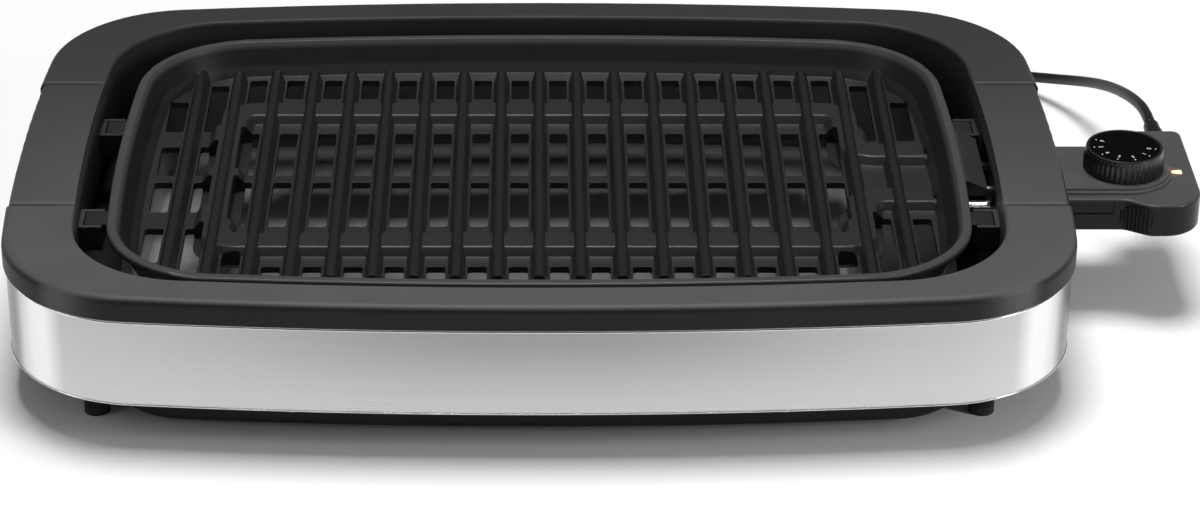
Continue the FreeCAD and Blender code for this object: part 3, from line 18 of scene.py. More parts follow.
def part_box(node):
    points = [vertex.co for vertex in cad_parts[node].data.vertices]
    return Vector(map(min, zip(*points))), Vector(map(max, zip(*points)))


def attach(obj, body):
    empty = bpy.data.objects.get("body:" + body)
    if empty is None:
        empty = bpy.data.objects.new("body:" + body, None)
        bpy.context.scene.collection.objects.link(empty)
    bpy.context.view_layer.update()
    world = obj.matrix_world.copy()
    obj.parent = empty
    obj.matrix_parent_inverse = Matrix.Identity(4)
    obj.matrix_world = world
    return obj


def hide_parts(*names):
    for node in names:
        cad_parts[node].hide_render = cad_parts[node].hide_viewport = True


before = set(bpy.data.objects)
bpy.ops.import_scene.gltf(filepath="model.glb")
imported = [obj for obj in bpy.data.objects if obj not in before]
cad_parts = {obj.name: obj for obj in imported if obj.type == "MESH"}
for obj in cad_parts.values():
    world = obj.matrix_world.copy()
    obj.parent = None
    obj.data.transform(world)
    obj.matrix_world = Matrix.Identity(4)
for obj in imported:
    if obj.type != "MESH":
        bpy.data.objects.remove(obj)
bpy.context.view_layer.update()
LOG = logging.getLogger("grill")

Colour = tuple[float, float, float]
Spot = tuple[float, float, float]
Span = tuple[float, float]

MM = 0.001
QUARTER = math.pi / 2
BODY_MIDDLE = Vector((-0.036, 0.0, 0.0))
BLACK: Colour = (0.0, 0.0, 0.0)
WHITE: Colour = (1.0, 1.0, 1.0)
NOISE_MIDDLE = 0.5
BEVEL_SAMPLES = 4
STUD_SIDES = 12
BEAD_SIDES = 8
RIB_SIDES = 10


class Body(Enum):
    """The bodies that carry added pieces."""

    BASE = "base"
    PROBE = "probe"
    DIAL = "dial"


class Slot(Enum):
    """The record's material slots."""

    RIM = "rim_plastic"
    HANDLE = "handle_plastic"
    BAND = "band_steel"
    PAN = "pan_plastic"
    FOOT = "foot_rubber"
    SCREW = "screw_steel"
    TRAY = "tray_metal"
    PLATE = "plate_coating"
    GUARD = "guard_plastic"
    ELEMENT = "element_sheath"
    CONTACT = "contact_metal"
    CERAMIC = "ceramic"
    PROBE = "probe_plastic"
    DIAL = "dial_plastic"
    FACE = "dial_face"
    SHAFT = "shaft_steel"
    LENS = "lens"
    LAMP = "lamp_glass"
    CORD = "cord_rubber"


class Wire:
    """An output socket of a node tree, with arithmetic that adds Math nodes."""

    def __init__(self, tree: "Tree", socket: Optional[bpy.types.NodeSocket]) -> None:
        """Keep the socket and the tree that it belongs to."""
        self.tree = tree
        self.socket = socket

    def _sum(self, operation: str, first: Any, second: Any = 0.0) -> "Wire":
        """A Math node on two values."""
        return self.tree.node("ShaderNodeMath", {"operation": operation}, {0: first, 1: second})

    def __add__(self, other: Any) -> "Wire":
        """This plus a value."""
        return self._sum("ADD", self, other)

    def __radd__(self, other: Any) -> "Wire":
        """A value plus this."""
        return self._sum("ADD", other, self)

    def __sub__(self, other: Any) -> "Wire":
        """This less a value."""
        return self._sum("SUBTRACT", self, other)

    def __rsub__(self, other: Any) -> "Wire":
        """A value less this."""
        return self._sum("SUBTRACT", other, self)

    def __mul__(self, other: Any) -> "Wire":
        """This times a value."""
        return self._sum("MULTIPLY", self, other)

    def __rmul__(self, other: Any) -> "Wire":
        """A value times this."""
        return self._sum("MULTIPLY", other, self)

    def __rtruediv__(self, other: Any) -> "Wire":
        """A value over this."""
        return self._sum("DIVIDE", other, self)

    def cosine(self) -> "Wire":
        """The cosine of this angle."""
        return self._sum("COSINE", self)

    def sine(self) -> "Wire":
        """The sine of this angle."""
        return self._sum("SINE", self)

    def size(self) -> "Wire":
        """This without its sign."""
        return self._sum("ABSOLUTE", self)

    def root(self) -> "Wire":
        """The square root of this."""
        return self._sum("SQRT", self)

    def swing(self, share: float) -> "Wire":
        """How far this noise is from its middle, times a share."""
        return (self - NOISE_MIDDLE) * share

    def step(self, low: float, high: float) -> "Wire":
        """A smooth step from 0 at low to 1 at high.

        Args:
            low: Value that gives 0.
            high: Value that gives 1.

        Returns:
            The stepped value.
        """
        settings = {"interpolation_type": "SMOOTHSTEP"}
        sockets = {"Value": self, "From Min": low, "From Max": high}
        return self.tree.node("ShaderNodeMapRange", settings, sockets)


class Tree:
    """Makes the nodes of one tree."""

    def __init__(self, tree: bpy.types.NodeTree) -> None:
        """Keep the tree."""
        self.tree = tree

    def node(
        self,
        kind: str,
        settings: Optional[Mapping[str, Any]] = None,
        sockets: Optional[Mapping[Union[str, int], Any]] = None,
        output: Union[int, str] = 0,
    ) -> Wire:
        """Add a node.

        Args:
            kind: The node's type.
            settings: Its properties, set before its sockets.
            sockets: Values or wires for its inputs, by name or number.
            output: The output that is wanted.

        Returns:
            That output.
        """
        made = self.tree.nodes.new(kind)
        for name, value in (settings or {}).items():
            setattr(made, name, value)
        for key, value in (sockets or {}).items():
            self.feed(made.inputs[key], value)
        return Wire(self, made.outputs[output] if len(made.outputs) else None)

    def feed(self, socket: bpy.types.NodeSocket, value: Any) -> None:
        """Link a wire to an input, or set its value.

        Args:
            socket: The input.
            value: A wire, a colour of three channels, or a value of the socket's own kind.
        """
        if isinstance(value, Wire):
            self.tree.links.new(value.socket, socket)
        elif socket.type == "RGBA" and len(value) == 3:
            socket.default_value = (*value, 1.0)
        else:
            socket.default_value = value


class Shade(Tree):
    """The node tree of one material."""

    def __init__(self, name: str) -> None:
        """Start an empty material.

        Args:
            name: The material's name.
        """
        self.material = bpy.data.materials.new(name)
        self.material.use_nodes = True
        self.material.node_tree.nodes.clear()
        super().__init__(self.material.node_tree)

    def spot(self) -> Wire:
        """The place on the piece, in its own frame."""
        return self.node("ShaderNodeTexCoord", output="Object")

    def axis(self, place: Wire, name: str) -> Wire:
        """One coordinate of a place."""
        return self.node("ShaderNodeSeparateXYZ", None, {"Vector": place}, name)

    def distance(self, place: Wire, other: Spot) -> Wire:
        """How far a place is from a fixed one."""
        return self.node("ShaderNodeVectorMath", {"operation": "DISTANCE"}, {0: place, 1: other}, "Value")

    def noise(self, place: Wire, scale: float, detail: float) -> Wire:
        """Fractal noise, about 0.5.

        Args:
            place: Where it is read.
            scale: Features in a metre.
            detail: Octaves.

        Returns:
            The noise value.
        """
        sockets = {"Vector": place, "Scale": scale, "Detail": detail}
        return self.node("ShaderNodeTexNoise", None, sockets)

    def streaks(self, place: Wire, lines: Spot, detail: float) -> Wire:
        """Fractal noise that is drawn out along some axes.

        Args:
            place: Where it is read.
            lines: Features in a metre along each axis.
            detail: Octaves.

        Returns:
            The noise value.
        """
        sockets = {"Vector": place, "Scale": lines}
        return self.noise(self.node("ShaderNodeMapping", {"vector_type": "POINT"}, sockets), 1.0, detail)

    def cells(self, place: Wire, scale: float) -> Wire:
        """Distance to the nearest of many scattered points."""
        return self.node("ShaderNodeTexVoronoi", None, {"Vector": place, "Scale": scale}, "Distance")

    def mix(self, share: Any, first: Any, second: Any) -> Wire:
        """One colour turning into another."""
        return self.node("ShaderNodeMix", {"data_type": "RGBA"}, {0: share, 6: first, 7: second}, 2)

    def bump(self, height: Wire, depth: float, strength: float, edge: float) -> Wire:
        """A normal from a height, on edges that are rounded a little.

        Args:
            height: Height of the relief, from 0 to 1.
            depth: What 1 stands for.
            strength: Share of it that shows.
            edge: Radius of the edges.

        Returns:
            The normal.
        """
        rounded = self.node("ShaderNodeBevel", {"samples": BEVEL_SAMPLES}, {"Radius": edge})
        sockets = {"Height": height, "Distance": depth, "Strength": strength, "Normal": rounded}
        return self.node("ShaderNodeBump", None, sockets)

    def close(self, sockets: Mapping[str, Any]) -> bpy.types.Material:
        """End the material in a principled shader.

        Args:
            sockets: Values or wires for its inputs.

        Returns:
            The finished material.
        """
        surface = self.node("ShaderNodeBsdfPrincipled", None, sockets)
        self.node("ShaderNodeOutputMaterial", None, {"Surface": surface})
        return self.material


def scaled(colour: Colour, share: float) -> Colour:
    """A colour made darker or paler."""
    red, green, blue = colour
    return (share * red, share * green, share * blue)


@dataclass(frozen=True)
class Plastic:
    """Moulded plastic: eroded grain, faint clouds of tone and slightly rounded edges.

    A top face can be paler as painted light, which turns to painted shade from front to rear and reaches
    down an inner skirt, and a painted halo of lamp light can show on it.
    """

    name: str
    colour: Colour
    roughness: float = 0.5
    grain: float = 0.35 * MM
    depth: float = 0.03 * MM
    edge: float = 0.5 * MM
    gloss: float = 0.2
    # Painted light: top faces paler than the sides, as where light falls from above.
    top_painted_light_colour: Optional[Colour] = None
    # Painted shade: the top colour turns darker towards the rear.
    rear_painted_shade_colour: Optional[Colour] = None
    rear_painted_shade_span: Span = (-0.17, 0.17)
    top_level: float = 0.0
    top_blend: float = 3.0 * MM
    top_cover: float = 0.88
    top_cloud: float = 0.3
    top_grain: float = 0.2
    # Painted light: the top colour carried down an inner skirt within this reach.
    skirt_painted_light_reach: Optional[Span] = None
    skirt_edge: float = 10.0 * MM
    skirt_painted_light_blend: float = 48.0 * MM
    # Painted halo of lamp light on the shell round the lens, though the shell is no lamp.
    painted_glow_middle: Optional[Spot] = None
    painted_glow_colour: Colour = (0.15, 0.045, 0.018)
    painted_glow_span: Span = (2.0 * MM, 7.0 * MM)
    grain_detail: float = 3.0
    grain_tone: float = 0.3
    grain_rough: float = 0.16
    grain_relief: float = 0.5
    cloud_scale: float = 22.0
    cloud_detail: float = 4.0
    cloud_span: Span = (0.35, 0.65)
    cloud_tone: float = 0.7
    cloud_dark: float = 0.8
    cloud_rough: float = 0.08

    def painted_top_light_share(self, shade: Shade, spot: Wire) -> Wire:
        """How much of the top face's painted light shows at a place.

        Args:
            shade: The material's tree.
            spot: The place.

        Returns:
            A share from 0 to 1.
        """
        height = shade.axis(spot, "Z")
        upper = height.step(self.top_level - self.top_blend, self.top_level)
        if not self.skirt_painted_light_reach:
            return upper
        # Painted light carried down the inner skirt.
        wide, deep = self.skirt_painted_light_reach
        out = (shade.axis(spot, "X") - BODY_MIDDLE.x).size()
        off = shade.axis(spot, "Y").size()
        along = 1.0 - out.step(wide - self.skirt_edge, wide)
        inside = along * (1.0 - off.step(deep - self.skirt_edge, deep))
        lower = height.step(self.top_level - self.skirt_painted_light_blend, self.top_level)
        return upper + inside * (lower - upper)

    def material(self) -> bpy.types.Material:
        """Make the finish.

        Returns:
            Its material.
        """
        shade = Shade(self.name)
        spot = shade.spot()
        grain = shade.noise(spot, 1 / self.grain, self.grain_detail)
        cloud = shade.noise(spot, self.cloud_scale, self.cloud_detail)
        mottle = cloud.step(*self.cloud_span) * self.cloud_tone + grain * self.grain_tone
        tone = shade.mix(mottle, scaled(self.colour, self.cloud_dark), self.colour)
        # Painted light on the top face, turning to painted shade towards the rear.
        if self.top_painted_light_colour:
            rear = shade.axis(spot, "Y").step(*self.rear_painted_shade_span)
            pale = shade.mix(rear, self.top_painted_light_colour, self.rear_painted_shade_colour or self.top_painted_light_colour)
            cover = self.top_cover + cloud.swing(self.top_cloud) + grain.swing(self.top_grain)
            tone = shade.mix(self.painted_top_light_share(shade, spot) * cover, tone, pale)
        sockets = {
            "Base Color": tone,
            "Roughness": self.roughness + grain.swing(self.grain_rough) + cloud.swing(self.cloud_rough),
            "Normal": shade.bump(grain, self.depth, self.grain_relief, self.edge),
            "Specular IOR Level": self.gloss,
        }
        # Painted halo: the shell itself emits faint amber light round the lens.
        if self.painted_glow_middle:
            fading = shade.distance(spot, self.painted_glow_middle).step(*self.painted_glow_span)
            sockets["Emission Color"] = shade.mix(fading, self.painted_glow_colour, BLACK)
            sockets["Emission Strength"] = 1.0
        return shade.close(sockets)


@dataclass(frozen=True)
class BrushedSteel:
    """Satin stainless sheet brushed along its length, with painted shade towards its upper edge, painted
    reflection paler towards its sides, a painted sheen near its bent corners and painted shade at their
    outer edges.
    """

    name: str
    low: float
    high: float
    middle: float
    colour: Colour = (0.54, 0.54, 0.545)
    # Painted shade: darker towards the upper edge.
    upper_painted_shade_colour: Colour = (0.29, 0.29, 0.295)
    upper_painted_shade_share: float = 0.9
    # Painted reflection: paler towards the sides.
    side_painted_reflection_colour: Colour = (0.60, 0.60, 0.605)
    side_painted_reflection_span: Span = (0.02, 0.24)
    side_painted_reflection_share: float = 0.7
    # Painted sheen: a bright band near each bent corner.
    painted_sheen_colour: Colour = (0.88, 0.88, 0.885)
    painted_sheen_place: float = 244.0 * MM
    painted_sheen_span: Span = (2.0 * MM, 14.0 * MM)
    # Painted shade: a dark band at the outer edges of the corners.
    painted_edge_shade_colour: Colour = (0.17, 0.17, 0.175)
    painted_edge_shade_place: float = 260.5 * MM
    painted_edge_shade_span: Span = (1.5 * MM, 8.0 * MM)
    roughness: float = 0.3
    line_tone: float = 0.08
    line_depth: float = 0.02 * MM
    line_relief: float = 0.04
    fine_lines: Spot = (9.0, 9.0, 3400.0)
    fine_detail: float = 3.0
    fine_rough: float = 0.14
    broad_lines: Spot = (3.0, 3.0, 420.0)
    broad_detail: float = 2.0
    broad_rough: float = 0.06
    edge: float = 0.3 * MM

    def material(self) -> bpy.types.Material:
        """Make the finish.

        Returns:
            Its material.
        """
        shade = Shade(self.name)
        spot = shade.spot()
        fine = shade.streaks(spot, self.fine_lines, self.fine_detail)
        broad = shade.streaks(spot, self.broad_lines, self.broad_detail)
        height = shade.axis(spot, "Z").step(self.low, self.high)
        out = (shade.axis(spot, "X") - self.middle).size()
        # Painted shade towards the upper edge, with the brushed lines' own tone.
        upper = height * self.upper_painted_shade_share + broad.swing(self.line_tone) + fine.swing(self.line_tone)
        tone = shade.mix(upper, self.colour, self.upper_painted_shade_colour)
        # Painted reflection: paler towards the sides.
        tone = shade.mix(out.step(*self.side_painted_reflection_span) * self.side_painted_reflection_share, tone, self.side_painted_reflection_colour)
        # Painted sheen near the bent corners.
        sheen = 1.0 - (out - self.painted_sheen_place).size().step(*self.painted_sheen_span)
        tone = shade.mix(sheen, tone, self.painted_sheen_colour)
        # Painted shade at the outer edges of the corners.
        shaded = 1.0 - (out - self.painted_edge_shade_place).size().step(*self.painted_edge_shade_span)
        sockets = {
            "Base Color": shade.mix(shaded, tone, self.painted_edge_shade_colour),
            "Metallic": 1.0,
            "Roughness": self.roughness + fine.swing(self.fine_rough) + broad.swing(self.broad_rough),
            "Normal": shade.bump(fine, self.line_depth, self.line_relief, self.edge),
        }
        return shade.close(sockets)


@dataclass(frozen=True)
class Metal:
    """Plain metal with a drawn or turned surface and faint stains, and painted shade that can darken it to
    the rear.
    """

    name: str
    colour: Colour
    roughness: float = 0.3
    lines: Spot = (400.0, 400.0, 400.0)
    metallic: float = 1.0
    # Painted shade: the colour turns darker towards the rear.
    far_painted_shade_colour: Optional[Colour] = None
    far_painted_shade_span: Span = (0.0, 0.0)
    line_detail: float = 3.0
    line_rough: float = 0.2
    line_depth: float = 0.03 * MM
    line_relief: float = 0.15
    stain: float = 0.12
    stain_scale: float = 18.0
    stain_detail: float = 4.0
    stain_span: Span = (0.4, 0.7)
    stain_rough: float = 0.15
    edge: float = 0.3 * MM

    def material(self) -> bpy.types.Material:
        """Make the finish.

        Returns:
            Its material.
        """
        shade = Shade(self.name)
        spot = shade.spot()
        drawn = shade.streaks(spot, self.lines, self.line_detail)
        stain = shade.noise(spot, self.stain_scale, self.stain_detail)
        tone = shade.mix(stain.step(*self.stain_span), self.colour, scaled(self.colour, 1 - self.stain))
        # Painted shade towards the rear.
        if self.far_painted_shade_colour:
            tone = shade.mix(shade.axis(spot, "Y").step(*self.far_painted_shade_span), tone, self.far_painted_shade_colour)
        sockets = {
            "Base Color": tone,
            "Metallic": self.metallic,
            "Roughness": self.roughness + drawn.swing(self.line_rough) + stain.swing(self.stain_rough),
            "Normal": shade.bump(drawn, self.line_depth, self.line_relief, self.edge),
        }
        return shade.close(sockets)


@dataclass(frozen=True)
class NonstickCoat:
    """Dark cooking coating: orange peel and fine specks, with the ribs darker than the channel floors as
    painted shade and the lip paler as a painted highlight.
    """

    name: str
    floor: float
    lip: float
    # Painted shade: the ribs' colour, darker than the channel floors.
    colour: Colour = (0.007, 0.0074, 0.0086)
    floor_colour: Colour = (0.018, 0.0185, 0.0202)
    # Painted highlight: the lip's paler colour.
    lip_painted_highlight_colour: Colour = (0.052, 0.0532, 0.057)
    speck_colour: Colour = (0.066, 0.068, 0.075)
    roughness: float = 0.38
    gloss: float = 0.3
    rib_shade_start: float = 4.4 * MM
    rib_shade_end: float = 6.2 * MM
    lip_start: float = 4.0 * MM
    lip_end: float = 1.0 * MM
    peel_scale: float = 1500.0
    peel_detail: float = 2.0
    peel_rough: float = 0.18
    peel_depth: float = 0.05 * MM
    peel_relief: float = 0.3
    cloud_scale: float = 30.0
    cloud_detail: float = 3.0
    cloud_tone: float = 0.25
    cloud_rough: float = 0.12
    speck_scale: float = 520.0
    speck_span: Span = (0.07, 0.16)
    speck_tone: float = 0.45
    speck_relief: float = 0.4
    edge: float = 0.9 * MM

    def material(self) -> bpy.types.Material:
        """Make the finish.

        Returns:
            Its material.
        """
        shade = Shade(self.name)
        spot = shade.spot()
        peel = shade.noise(spot, self.peel_scale, self.peel_detail)
        cloud = shade.noise(spot, self.cloud_scale, self.cloud_detail)
        specks = 1.0 - shade.cells(spot, self.speck_scale).step(*self.speck_span)
        height = shade.axis(spot, "Z")
        # Painted shade darkening the ribs above the channel floors, with random clouds of tone.
        ribs = height.step(self.floor + self.rib_shade_start, self.floor + self.rib_shade_end)
        tone = shade.mix(ribs + cloud.swing(self.cloud_tone), self.floor_colour, self.colour)
        # Painted highlight on the lip.
        lip = height.step(self.lip - self.lip_start, self.lip - self.lip_end)
        tone = shade.mix(lip, tone, self.lip_painted_highlight_colour)
        relief = peel + specks * self.speck_relief
        sockets = {
            "Base Color": shade.mix(specks * self.speck_tone, tone, self.speck_colour),
            "Roughness": self.roughness + peel.swing(self.peel_rough) + cloud.swing(self.cloud_rough),
            "Normal": shade.bump(relief, self.peel_depth, self.peel_relief, self.edge),
            "Specular IOR Level": self.gloss,
        }
        return shade.close(sockets)


@dataclass(frozen=True)
class Rubber:
    """Soft rubber or cord sleeve, with a fine waviness and a little dust."""

    name: str
    colour: Colour
    roughness: float = 0.6
    gloss: float = 0.35
    wave: float = 1.6 * MM
    wave_detail: float = 2.0
    wave_rough: float = 0.1
    wave_depth: float = 0.05 * MM
    wave_relief: float = 0.25
    dust_scale: float = 60.0
    dust_detail: float = 4.0
    dust_span: Span = (0.45, 0.75)
    dust_pale: float = 1.6
    dust_rough: float = 0.15
    edge: float = 0.3 * MM

    def material(self) -> bpy.types.Material:
        """Make the finish.

        Returns:
            Its material.
        """
        shade = Shade(self.name)
        spot = shade.spot()
        wave = shade.noise(spot, 1 / self.wave, self.wave_detail)
        dust = shade.noise(spot, self.dust_scale, self.dust_detail)
        dusty = scaled(self.colour, self.dust_pale)
        sockets = {
            "Base Color": shade.mix(dust.step(*self.dust_span), self.colour, dusty),
            "Roughness": self.roughness + wave.swing(self.wave_rough) + dust.swing(self.dust_rough),
            "Normal": shade.bump(wave, self.wave_depth, self.wave_relief, self.edge),
            "Specular IOR Level": self.gloss,
        }
        return shade.close(sockets)


@dataclass(frozen=True)
class Ceramic:
    """Unglazed dark ceramic with small pores."""

    name: str
    colour: Colour = (0.036, 0.036, 0.038)
    roughness: float = 0.7
    cloud_scale: float = 140.0
    cloud_detail: float = 3.0
    cloud_dark: float = 0.9
    cloud_rough: float = 0.2
    pore_scale: float = 900.0
    pore_span: Span = (0.06, 0.2)
    pore_share: float = 0.5
    pore_dark: float = 0.4
    pore_depth: float = 0.05 * MM
    pore_relief: float = 0.3
    edge: float = 0.2 * MM

    def material(self) -> bpy.types.Material:
        """Make the finish.

        Returns:
            Its material.
        """
        shade = Shade(self.name)
        spot = shade.spot()
        pores = 1.0 - shade.cells(spot, self.pore_scale).step(*self.pore_span)
        cloud = shade.noise(spot, self.cloud_scale, self.cloud_detail)
        pale = shade.mix(cloud, scaled(self.colour, self.cloud_dark), self.colour)
        sockets = {
            "Base Color": shade.mix(pores * self.pore_share, pale, scaled(self.colour, self.pore_dark)),
            "Roughness": self.roughness + cloud.swing(self.cloud_rough),
            "Normal": shade.bump(1.0 - pores, self.pore_depth, self.pore_relief, self.edge),
        }
        return shade.close(sockets)


@dataclass(frozen=True)
class LitLens:
    """A lens lit from behind: cream in the middle, amber towards its edge."""

    name: str
    middle: Spot
    strength: float
    reach: float = 9.0 * MM
    core_share: float = 0.55
    core_colour: Colour = (1.0, 0.86, 0.66)
    edge_colour: Colour = (1.0, 0.5, 0.2)
    colour: Colour = (0.9, 0.5, 0.25)
    roughness: float = 0.2

    def material(self) -> bpy.types.Material:
        """Make the finish.

        Returns:
            Its material.
        """
        shade = Shade(self.name)
        outward = shade.distance(shade.spot(), self.middle).step(self.core_share * self.reach, self.reach)
        sockets = {
            "Base Color": self.colour,
            "Roughness": self.roughness,
            "Emission Color": shade.mix(outward, self.core_colour, self.edge_colour),
            "Emission Strength": self.strength,
        }
        return shade.close(sockets)


@dataclass(frozen=True)
class Ink:
    """Printed paint, a little uneven."""

    name: str
    colour: Colour = (0.86, 0.86, 0.86)
    thin: float = 0.85
    roughness: float = 0.5
    cover_scale: float = 1800.0
    cover_detail: float = 2.0
    cover_rough: float = 0.1

    def material(self) -> bpy.types.Material:
        """Make the finish.

        Returns:
            Its material.
        """
        shade = Shade(self.name)
        cover = shade.noise(shade.spot(), self.cover_scale, self.cover_detail)
        tone = shade.mix(cover, scaled(self.colour, self.thin), self.colour)
        rough = self.roughness + cover.swing(self.cover_rough)
        return shade.close({"Base Color": tone, "Roughness": rough})


@dataclass
class Palette:
    """The finish of each material slot, made once."""

    made: dict[Slot, bpy.types.Material] = field(default_factory=dict)
    plate_depth: float = 16.7 * MM
    deck_drop: float = 2.0 * MM
    rim_drop: float = 0.3 * MM

    def build(self) -> None:
        """Make every finish."""
        lens_low, lens_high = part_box("indicator_lens")
        lens_middle = tuple((lens_low + lens_high) / 2)
        band_low, band_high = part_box("steel_band")
        plate_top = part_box("grill_plate")[1].z
        # Painted light on the rim's top faces and inner skirt, with painted shade towards the rear.
        rim_face = {
            "top_painted_light_colour": (0.092, 0.092, 0.0925),
            "rear_painted_shade_colour": (0.034, 0.034, 0.0345),
            "top_level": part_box("rim_frame")[1].z - self.rim_drop,
            "top_blend": 2.0 * MM,
            "skirt_painted_light_reach": (0.245, 0.170),
        }
        # Painted light on the probe's deck, and a painted halo round the lens.
        probe_face = {
            "gloss": 0.2,
            "painted_glow_middle": lens_middle,
            "top_painted_light_colour": (0.094, 0.094, 0.0945),
            "top_level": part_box("probe_upper_shell")[1].z - self.deck_drop,
            "top_blend": 2.5 * MM,
        }
        # Painted shade on the tray towards the rear.
        tray_face = {
            "lines": (8.0, 500.0, 500.0),
            "metallic": 0.25,
            "far_painted_shade_colour": (0.16, 0.16, 0.165),
            "far_painted_shade_span": (0.05, 0.13),
        }
        dial_face = {"grain": 0.5 * MM, "depth": 0.004 * MM, "gloss": 0.02}
        guard_face = {"grain": 0.7 * MM, "depth": 0.08 * MM}
        finishes = {
            Slot.RIM: Plastic("rim_charcoal", (0.011, 0.011, 0.0112), 0.5, **rim_face),
            Slot.HANDLE: Plastic("handle_charcoal", (0.011, 0.011, 0.0112), 0.52, **rim_face),
            Slot.BAND: BrushedSteel("band_brushed_steel", band_low.z, band_high.z, BODY_MIDDLE.x),
            Slot.PAN: Plastic("pan_black", (0.014, 0.014, 0.0142), 0.4),
            Slot.FOOT: Rubber("foot_rubber_black", (0.012, 0.012, 0.012), 0.5),
            Slot.SCREW: Metal("screw_plated_steel", (0.5, 0.5, 0.5), 0.3),
            Slot.TRAY: Metal("tray_satin_aluminium", (0.6, 0.6, 0.607), 0.38, **tray_face),
            Slot.PLATE: NonstickCoat("plate_nonstick", plate_top - self.plate_depth, plate_top),
            Slot.GUARD: Plastic("guard_grained", (0.036, 0.037, 0.041), 0.55, **guard_face),
            Slot.ELEMENT: Metal("element_oxidised_sheath", (0.16, 0.15, 0.145), 0.5),
            Slot.CONTACT: Metal("contact_bright_plate", (0.78, 0.78, 0.79), 0.2),
            Slot.CERAMIC: Ceramic("insulator_ceramic"),
            Slot.PROBE: Plastic("probe_charcoal", (0.0055, 0.0055, 0.0056), 0.32, **probe_face),
            Slot.DIAL: Plastic("dial_satin_black", (0.008, 0.008, 0.008), 0.26, gloss=0.5),
            Slot.FACE: Plastic("dial_gloss_black", (0.002, 0.002, 0.002), 0.14, **dial_face),
            Slot.SHAFT: Metal("shaft_turned_steel", (0.6, 0.6, 0.6), 0.25, (3000.0, 30.0, 30.0)),
            Slot.LENS: LitLens("lens_lit_amber", lens_middle, 0.95),
            Slot.LAMP: LitLens("lamp_neon_glass", lens_middle, 0.8),
            Slot.CORD: Rubber("cord_black_sleeve", (0.006, 0.006, 0.0062), 0.4),
        }
        self.made = {slot: finish.material() for slot, finish in finishes.items()}

    def dress(self, piece: bpy.types.Object, slot: Slot) -> None:
        """Give a piece the finish of a slot."""
        piece.data.materials.clear()
        piece.data.materials.append(self.made[slot])

    def dress_nodes(self) -> None:
        """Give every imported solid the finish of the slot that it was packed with."""
        for name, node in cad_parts.items():
            slot = Slot(node.data.materials[0].name.split(".")[0])
            self.dress(node, slot)
            LOG.info("dressed %s in %s", name, slot.value)


def eased(share: float) -> float:
    """A share from 0 to 1 that starts and ends gently."""
    return share * share * (3 - 2 * share)


def settled_mesh(host: bpy.types.Object) -> bpy.types.Mesh:
    """Work out a helper's curve, text or modifier, and remove the helper.

    Args:
        host: The helper, not yet in the scene.

    Returns:
        What it comes to, as a plain mesh.
    """
    bpy.context.scene.collection.objects.link(host)
    bpy.context.view_layer.update()
    seen = host.evaluated_get(bpy.context.evaluated_depsgraph_get())
    mesh = bpy.data.meshes.new_from_object(seen)
    bpy.data.objects.remove(host)
    return mesh


def new_piece(name: str, mesh: bpy.types.Mesh, body: Body) -> bpy.types.Object:
    """Add a finished mesh to the scene.

    Args:
        name: The piece's name.
        mesh: Its mesh, in the frame of the model.
        body: The body that it rides on.

    Returns:
        The piece.
    """
    piece = bpy.data.objects.new(name, mesh)
    bpy.context.scene.collection.objects.link(piece)
    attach(piece, body.value)
    LOG.info("built %s on %s", name, body.value)
    return piece


def plain_mesh(name: str, points: Sequence[Vector], faces: Sequence[Sequence[int]]) -> bpy.types.Mesh:
    """A mesh from points and faces, shaded smooth.

    Args:
        name: The mesh's name.
        points: Its corners.
        faces: The corners' numbers, face by face.

    Returns:
        The mesh.
    """
    mesh = bpy.data.meshes.new(name)
    mesh.from_pydata([tuple(point) for point in points], [], faces)
    mesh.shade_smooth()
    return mesh


def tube_mesh(name: str, line: Sequence[Vector], section: Sequence[Span]) -> bpy.types.Mesh:
    """A closed tube of a section along a line, without twist.

    Args:
        name: The mesh's name.
        line: Points of its middle.
        section: Points round its middle, across and up.

    Returns:
        The mesh.
    """
    count = len(section)
    points = []
    across = Vector((0.0, 0.0, 1.0)).cross(line[1] - line[0]).normalized()
    for i, here in enumerate(line):
        way = (line[min(i + 1, len(line) - 1)] - line[max(i - 1, 0)]).normalized()
        across = (across - way * across.dot(way)).normalized()
        up = way.cross(across)
        points += [here + across * a + up * b for a, b in section]
    faces = [list(reversed(range(count))), [count * (len(line) - 1) + j for j in range(count)]]
    for i in range(len(line) - 1):
        for j in range(count):
            after = (j + 1) % count
            faces.append((count * i + j, count * i + after, count * (i + 1) + after, count * (i + 1) + j))
    return plain_mesh(name, points, faces)


